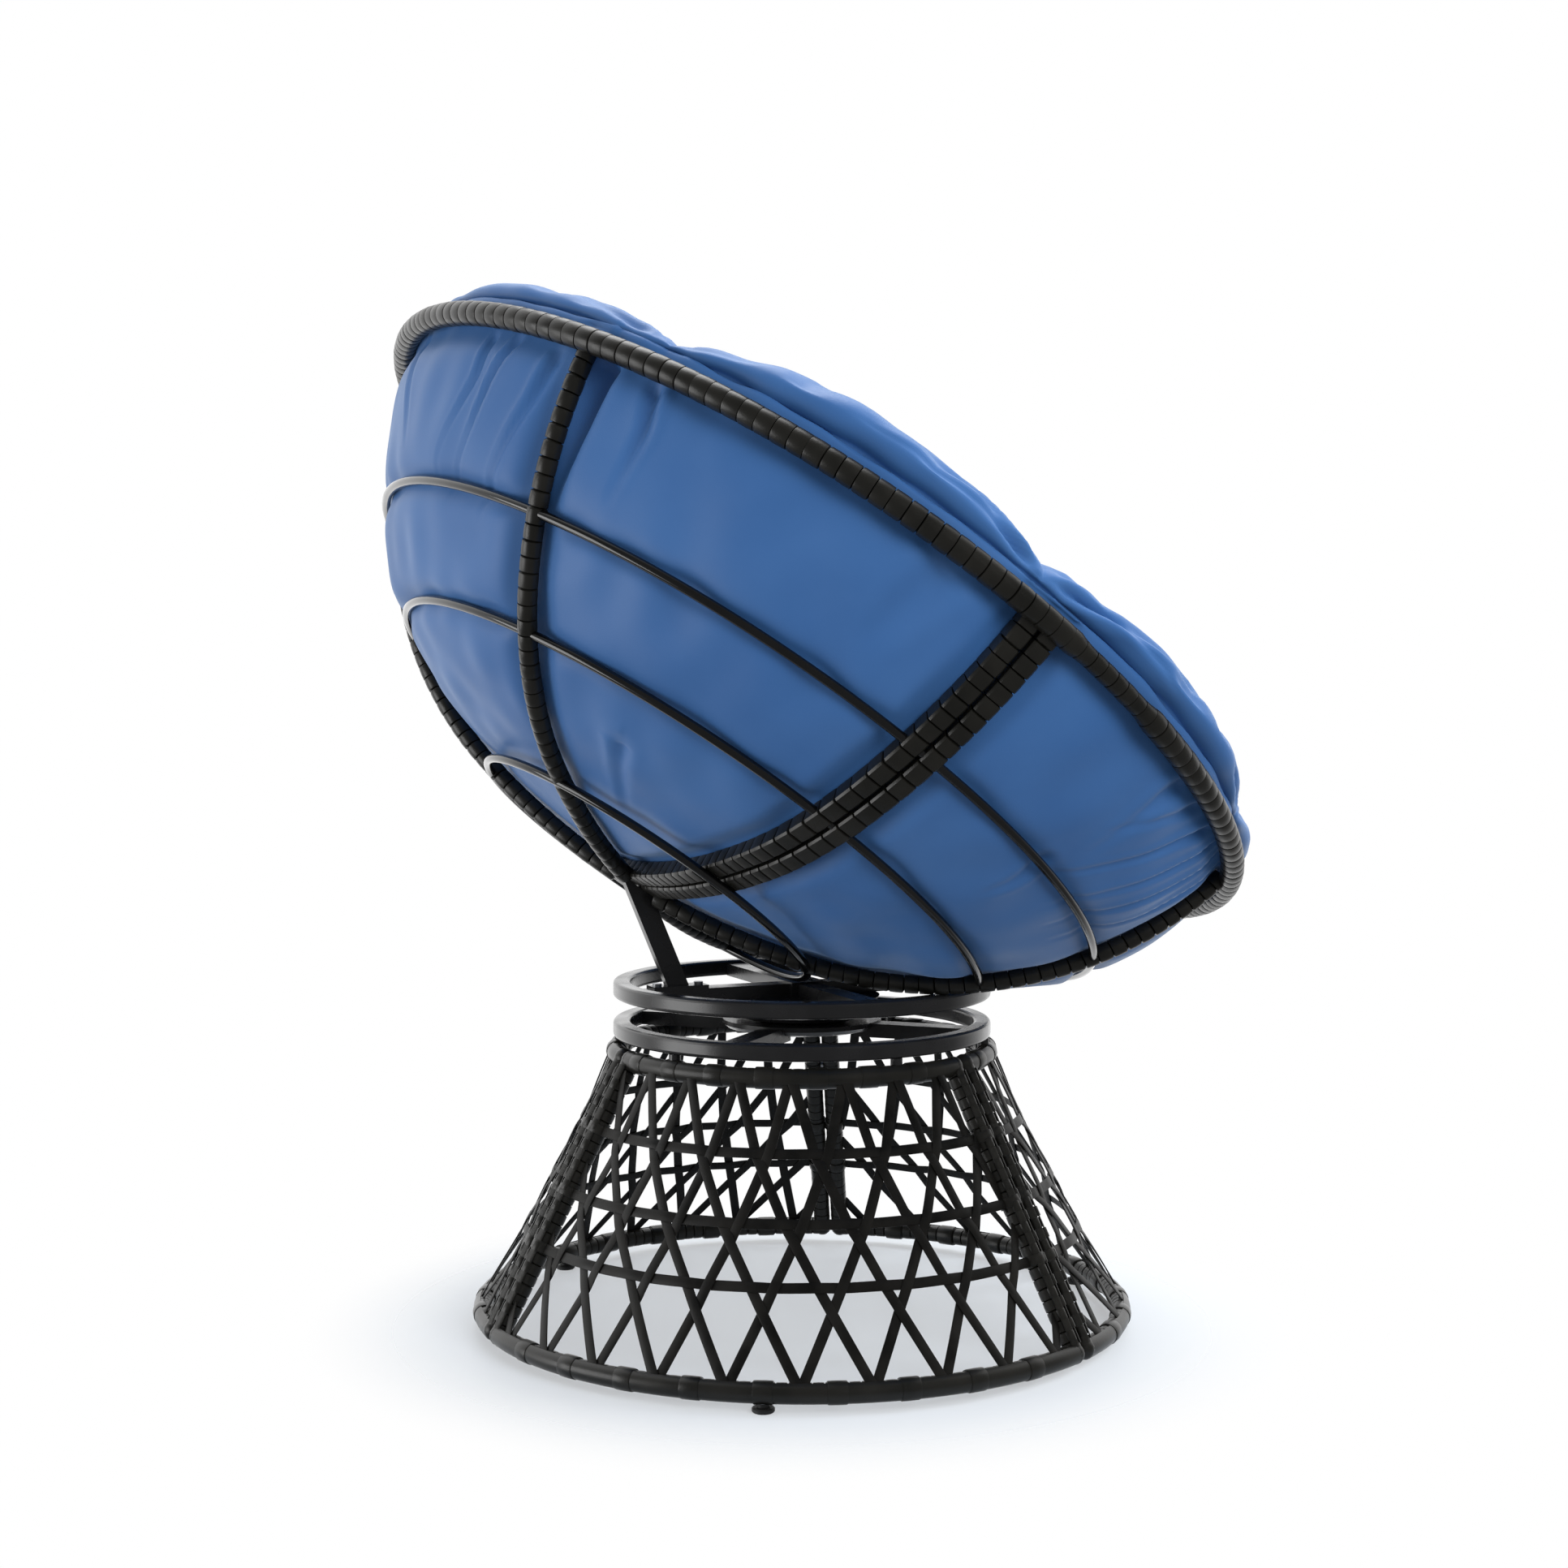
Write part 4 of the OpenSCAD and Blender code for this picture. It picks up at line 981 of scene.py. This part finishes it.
def under_rows(u):
    """Rows of the underside from pole to rim, and the place of each as a share of that way."""
    arcs = tuple((centre, radius - REST, end) for centre, radius, end in TWIN_ARCS)
    under = arc_profile(arcs, start=0.3, step=0.5)
    from_pole = lengths_along(under)
    slopes = unit(np.gradient(under, axis=0))
    rows = []
    for (radius, height), (run, rise), to_rim in zip(under, slopes, from_pole[-1] - from_pole):
        swell = swelling(np.full(len(u), radius), np.full(len(u), height), u, np.full(len(u), to_rim))
        rows.append((radius + swell * rise, height - swell * run))
    return rows, from_pole / from_pole[-1]


def top_rows(u, draw):
    """Rows over the crown, from the seam to the tuft in the middle."""
    place = (u - math.radians(CUSHION_TURN)) / math.tau * LOBES
    sector = np.floor(place).astype(int) % LOBES
    puff = np.array(LOBE_PUFF)[sector] * lobe(u, 0.7)
    rise = np.array(LOBE_RISE)[sector] * lobe(u, 1.0)
    edge_channel = np.array(EDGE_CHANNELS)[np.round(place).astype(int) % LOBES]
    edge_top = CROWN_Z + rise - edge_channel * (1.0 - lobe(u, 0.5))
    start_r = SEAM_R + SEAM_ROWS[-1][0] - draw
    start_z = SEAM_Z + SEAM_ROWS[-1][1]
    rows = []
    for angle in np.radians(np.linspace(5.0, 90.0, SHOULDER_ROWS)):
        rows.append((
            CROWN_R + (start_r - CROWN_R) * math.cos(angle) + puff * math.sin(2.0 * angle) ** 0.8,
            start_z + (edge_top - start_z) * math.sin(angle),
        ))
    for s in np.linspace(0.985, 0.012, TOP_ROWS):
        top = -DISH_DEPTH + (DISH_DEPTH + CROWN_Z) * s * s * (3.0 - 2.0 * s)
        edge = np.clip((s - 0.62) / 0.38, 0.0, 1.0)
        depth = CHANNEL + (edge_channel - CHANNEL) * edge
        dent = depth * (1.0 - lobe(u, 0.6 + 0.15 * edge)) * min(1.0, s * 4.0)
        tuft = TUFT * math.exp(-((s * CROWN_R / TUFT_R) ** 2))
        rows.append((np.full(len(u), CROWN_R * s), top + rise * edge - dent - tuft))
    return rows


def skin_rows(u):
    """Rows of (radius, height) from pole to tuft, how many reach the seam, and under_rows' places."""
    rows, from_pole = under_rows(u)
    edge_r, edge_z = rows[-1]
    draw = EDGE_DRAW * (1.0 - lobe(u, 0.6))
    for r, z in EDGE_ROWS:
        share = min(1.0, z / EDGE_FULL)
        radius = np.minimum(r, edge_r + EDGE_SWELL * share) - draw * share
        rows.append((radius, edge_z * (1.0 - share) + z * share))
    for r, z in SEAM_ROWS:
        rows.append((SEAM_R + r - draw, np.full(len(u), SEAM_Z + z)))
    return rows + top_rows(u, draw), len(rows), from_pole


def grid_normals(grid):
    along = np.gradient(grid, axis=0)
    around = np.roll(grid, -1, axis=1) - np.roll(grid, 1, axis=1)
    return unit(np.cross(around, along))


def grid_line(grid, places):
    """Points on the skin along a smooth line through (row, turn in degrees) places."""
    rows, turns = np.array(places, float).T
    knots = np.linspace(0.0, 1.0, len(places))
    steps = np.linspace(0.0, 1.0, 120)
    kernel = np.hanning(31)
    kernel /= kernel.sum()
    rows, columns = [
        np.convolve(np.pad(np.interp(steps, knots, values), 15, mode="edge"), kernel, mode="valid")
        for values in (rows, turns * (CUSHION_COLUMNS / 360.0))
    ]
    low_row = np.clip(np.floor(rows).astype(int), 0, len(grid) - 2)
    low_column = np.floor(columns).astype(int)
    a = (rows - low_row)[:, None]
    b = (columns - low_column)[:, None]
    left = low_column % CUSHION_COLUMNS
    right = (low_column + 1) % CUSHION_COLUMNS
    near = grid[low_row, left] * (1.0 - b) + grid[low_row, right] * b
    far = grid[low_row + 1, left] * (1.0 - b) + grid[low_row + 1, right] * b
    return near * (1.0 - a) + far * a


def press_fold(grid, normals, places, half, depth, ridge):
    """Presses a fold that fades away into the skin, along a line through places."""
    line = grid_line(grid, places)
    reach = half * 5.0
    near = ((grid > line.min(axis=0) - reach) & (grid < line.max(axis=0) + reach)).all(axis=-1)
    spots = grid[near]
    gaps = np.linalg.norm(spots[:, None] - line[None], axis=2)
    closest = gaps.argmin(axis=1)
    t = closest / (len(line) - 1.0)
    across = np.cross(np.gradient(line, axis=0)[closest], normals[near])
    side = np.sign((across * (spots - line[closest])).sum(axis=1))
    x = gaps.min(axis=1) / (half * (1.0 - 0.4 * t))
    strength = depth * np.clip((1.0 - t) / 0.8, 0.0, 1.0) * np.clip(0.4 + t / 0.1, 0.0, 1.0)
    crest = np.where((side == ridge) | (ridge == 0), 0.5, 0.12)
    shape = crest * np.exp(-(((x - 1.8) / 0.9) ** 2)) - np.exp(-(x ** 2))
    grid[near] += (strength * shape)[:, None] * normals[near]


def press_folds(grid, normals, seam, from_pole):
    """The folds under the rim, over the seam and beside each of the edge's notches."""
    for places, half, depth, ridge in FOLDS:
        lengths = [np.interp(s / RIB_LENGTH, from_pole, np.arange(len(from_pole))) for _, s in places]
        turns = [angle for angle, _ in places]
        press_fold(grid, normals, list(zip(lengths, turns)), half, depth, ridge)
    for places, half, depth, ridge in TOP_FOLDS:
        press_fold(grid, normals, [(seam + rank, angle) for angle, rank in places], half, depth, ridge)
    chance = np.random.RandomState(NOTCH_SEED)
    for number in range(LOBES):
        notch = 360.0 / LOBES * number + CUSHION_TURN
        for side in (-1, 1):
            for rank in range(3):
                rise = 3.0 + 7.0 * rank + chance.uniform(-1.5, 1.5)
                reach = chance.uniform(9.0, 15.0)
                places = (
                    (seam + rise, notch + side * 1.5),
                    (seam + rise * 1.25 + 2.0, notch + side * reach * 0.5),
                    (seam + rise * 1.4 + 5.0, notch + side * reach),
                )
                half = chance.uniform(4.0, 6.0)
                press_fold(grid, normals, places, half, chance.uniform(1.2, 2.4), side)


def ripples(grid, turn):
    """Height of the skin's low waves, which fade towards the middle."""
    radius = np.hypot(grid[..., 0], grid[..., 1])
    total = 0.0
    for waves, phase, size in WAVES:
        total = total + size * np.sin(waves * turn + phase + grid[..., 2] / (9.0 + 3.0 * waves))
    chance = np.random.RandomState(RIPPLE_SEED)
    for _ in range(RIPPLES):
        wave = math.tau / chance.uniform(*RIPPLE_LENGTHS)
        way = chance.normal(size=3)
        phase = chance.uniform(0.0, 6.28)
        total = total + RIPPLE_HEIGHT * np.sin(grid @ (way * wave / np.linalg.norm(way)) + phase)
    return total * np.clip(radius / 120.0 - 0.4, 0.0, 1.0)


def simulated(coarse, held):
    """Rows of points in metres after a cloth simulation blew up what isn't held."""
    mesh = bpy.data.meshes.new("blown")
    mesh.from_pydata(coarse.reshape(-1, 3).tolist(), [], grid_faces(*coarse.shape[:2]))
    sheet = bpy.data.objects.new("blown", mesh)
    scene.collection.objects.link(sheet)
    pinned = sheet.vertex_groups.new(name="held")
    pinned.add(np.nonzero(held.ravel())[0].tolist(), 1.0, "REPLACE")
    soft = sheet.modifiers.new("cloth", "CLOTH").settings
    soft.vertex_group_mass = "held"
    soft.use_pressure = True
    soft.uniform_pressure_force = 4.0
    soft.effector_weights.gravity = 0.0
    soft.bending_stiffness = 0.2
    for step in range(1, CLOTH_FRAMES + 1):
        scene.frame_set(step)
    shape = sheet.evaluated_get(bpy.context.evaluated_depsgraph_get()).data
    moved = np.empty(len(shape.vertices) * 3)
    shape.vertices.foreach_get("co", moved)
    scene.frame_set(1)
    bpy.data.objects.remove(sheet)
    return moved.reshape(coarse.shape)


def blown(grid, seam):
    """The skin with its top swollen between seam, channels and tuft."""
    rows = np.unique(np.append(np.arange(seam, len(grid), ROW_STEP), len(grid) - 1))
    columns = np.arange(0, CUSHION_COLUMNS, COLUMN_STEP)
    coarse = grid[rows][:, columns] * MM
    turn = columns * math.tau / CUSHION_COLUMNS
    held = np.broadcast_to(lobe(turn, 1.0) < PINNED_SHARE, coarse.shape[:2]).copy()
    held[:2] = True
    held[-5:] = True
    move = (simulated(coarse, held) - coarse) / MM
    length = np.linalg.norm(move, axis=-1, keepdims=True)
    move *= np.minimum(1.0, SWELL_CAP / np.maximum(length, 1e-6))
    move = np.concatenate([move, move[:, :1]], axis=1)
    around = np.arange(CUSHION_COLUMNS) / COLUMN_STEP
    marks = np.arange(len(columns) + 1)
    fine_rows = np.arange(seam, len(grid))
    for i in range(3):
        wide = np.array([np.interp(around, marks, line) for line in move[..., i]])
        grid[seam:, :, i] += np.array([np.interp(fine_rows, rows, line) for line in wide.T]).T
    return grid


def cushion_grid():
    """Rows of points of the cushion's skin, in the bowl's frame."""
    u = np.linspace(0.0, math.tau, CUSHION_COLUMNS, endpoint=False)
    rows, seam, from_pole = skin_rows(u)
    radius, height = np.array(rows).transpose(1, 0, 2)
    grid = polar(radius, u, height)
    normals = grid_normals(grid)
    grid += ripples(grid, u)[..., None] * normals
    grid = blown(grid, seam)
    normals = grid_normals(grid)
    press_folds(grid, normals, seam, from_pole)
    over_ring = (RING_TOP + RING_CLEAR - BOWL_Z - grid[..., 1] * math.sin(TILT)) / math.cos(TILT)
    grid[..., 2] = over_ring + RING_SOFT * np.logaddexp(0.0, (grid[..., 2] - over_ring) / RING_SOFT)
    return grid


def add_cushion():
    grid = cushion_grid()
    rows = len(grid)
    faces = grid_faces(rows, CUSHION_COLUMNS)
    hubs = []
    for row in (0, rows - 1):
        hub = rows * CUSHION_COLUMNS + len(hubs)
        hubs.append(grid[row].mean(axis=0))
        ring = [row * CUSHION_COLUMNS + i for i in range(CUSHION_COLUMNS)]
        faces.extend((ring[i - 1], ring[i], hub) for i in range(CUSHION_COLUMNS))
    points = in_chair(np.vstack([grid.reshape(-1, 3), hubs]))
    cushion = add_piece(
        "cushion_soft", points, faces, cloth_look, "cushion", ("cushion",), sharp=math.pi
    )


# Floor, light and camera. Places and sizes in metres

FLOOR_R = 6.0
FLOOR_COLOUR = (0.8, 0.895, 1.0, 1.0)
# How clear the floor is at least, and between which distances from the middle it fades away
FLOOR_CLEAR = 0.38
FLOOR_FADE = (0.26, 0.44)
# The world's light, and how bright it is in reflections away from and towards its bright side
WORLD_LEVEL = 0.42
WORLD_DARK = 0.18
WORLD_BRIGHT = 1.6
BRIGHT_SIDE = (0.90, -0.22, 0.37)
BRIGHT_FADE = (-0.1, 0.75)
# Name, place, aim's height, size and power of each lamp, and whether it is seen in reflections
LAMPS = (
    ("front", (-2.7, -0.5, 1.5), 0.5, 1.6, 48.0, False),
    ("rear", (0.3, 2.6, 0.25), 0.6, 1.6, 34.0, True),
    ("top", (0.6, -0.4, 2.9), 0.4, 1.8, 46.0, True),
    ("side", (-0.6, -2.6, 2.1), 0.5, 1.4, 48.0, False),
)
CAMERA_AT = (-1.8665, 0.8293, 0.5523)
CAMERA_WAY = (0.9163, -0.3987, -0.0396)


def add_floor():
    """A pale floor that fades into the white background away from the chair."""
    bpy.ops.mesh.primitive_circle_add(vertices=96, radius=FLOOR_R, fill_type="NGON", location=(0, 0, 0))
    floor = bpy.context.object
    floor.name = "floor"
    material, tree, shader = new_material("floor")
    set_inputs(shader, {"Base Color": FLOOR_COLOUR, "Roughness": 0.55})
    clear = tree.nodes.new("ShaderNodeBsdfTransparent")
    mix = tree.nodes.new("ShaderNodeMixShader")
    place = tree.nodes.new("ShaderNodeTexCoord")
    length = tree.nodes.new("ShaderNodeVectorMath")
    length.operation = "LENGTH"
    tree.links.new(place.outputs["Object"], length.inputs[0])
    fade = add_range(tree, length.outputs["Value"], FLOOR_FADE, (FLOOR_CLEAR, 1.0), smooth=True)
    tree.links.new(fade, mix.inputs["Fac"])
    tree.links.new(shader.outputs["BSDF"], mix.inputs[1])
    tree.links.new(clear.outputs["BSDF"], mix.inputs[2])
    tree.links.new(mix.outputs["Shader"], tree.nodes["Material Output"].inputs["Surface"])
    floor.data.materials.append(material)


def add_lamp(name, place, aim_height, size, power, mirrored):
    light = bpy.data.lights.new(name, "AREA")
    light.shape = "SQUARE"
    light.size = size
    light.energy = power
    lamp = bpy.data.objects.new(name, light)
    lamp.location = place
    way = Vector((0.0, 0.0, aim_height)) - Vector(place)
    lamp.rotation_euler = way.to_track_quat("-Z", "Y").to_euler()
    lamp.visible_glossy = mirrored
    scene.collection.objects.link(lamp)


def add_world():
    """White to the camera, level as light, and in reflections dark but for one bright side."""
    world = bpy.data.worlds.new("white")
    world.use_nodes = True
    tree = world.node_tree
    sky = tree.nodes["Background"]
    sky.inputs["Color"].default_value = (1.0, 1.0, 1.0, 1.0)
    rays = tree.nodes.new("ShaderNodeLightPath")
    place = tree.nodes.new("ShaderNodeTexCoord")
    facing = tree.nodes.new("ShaderNodeVectorMath")
    facing.operation = "DOT_PRODUCT"
    facing.inputs[1].default_value = BRIGHT_SIDE
    tree.links.new(place.outputs["Generated"], facing.inputs[0])
    reflected = (WORLD_DARK, WORLD_BRIGHT)
    mirrored = add_range(tree, facing.outputs["Value"], BRIGHT_FADE, reflected, smooth=True)
    as_light = add_range(tree, rays.outputs["Is Glossy Ray"], (0.0, 1.0), (WORLD_LEVEL, mirrored))
    strength = add_range(tree, rays.outputs["Is Camera Ray"], (0.0, 1.0), (as_light, 1.0))
    tree.links.new(strength, sky.inputs["Strength"])
    scene.world = world


def add_camera():
    camera_data = bpy.data.cameras.new("camera")
    camera_data.lens = 53.37
    camera_data.sensor_width = 36.0
    camera = bpy.data.objects.new("camera", camera_data)
    camera.location = CAMERA_AT
    camera.rotation_euler = Vector(CAMERA_WAY).to_track_quat("-Z", "Y").to_euler()
    scene.collection.objects.link(camera)
    scene.camera = camera


add_rim()
add_ribs()
add_side_ribs()
for number, turn in enumerate(PANEL_TURNS):
    add_panel(number, turn)
add_cushion()
add_floor()
add_world()
for lamp in LAMPS:
    add_lamp(*lamp)
add_camera()
scene.view_settings.view_transform = "Standard"
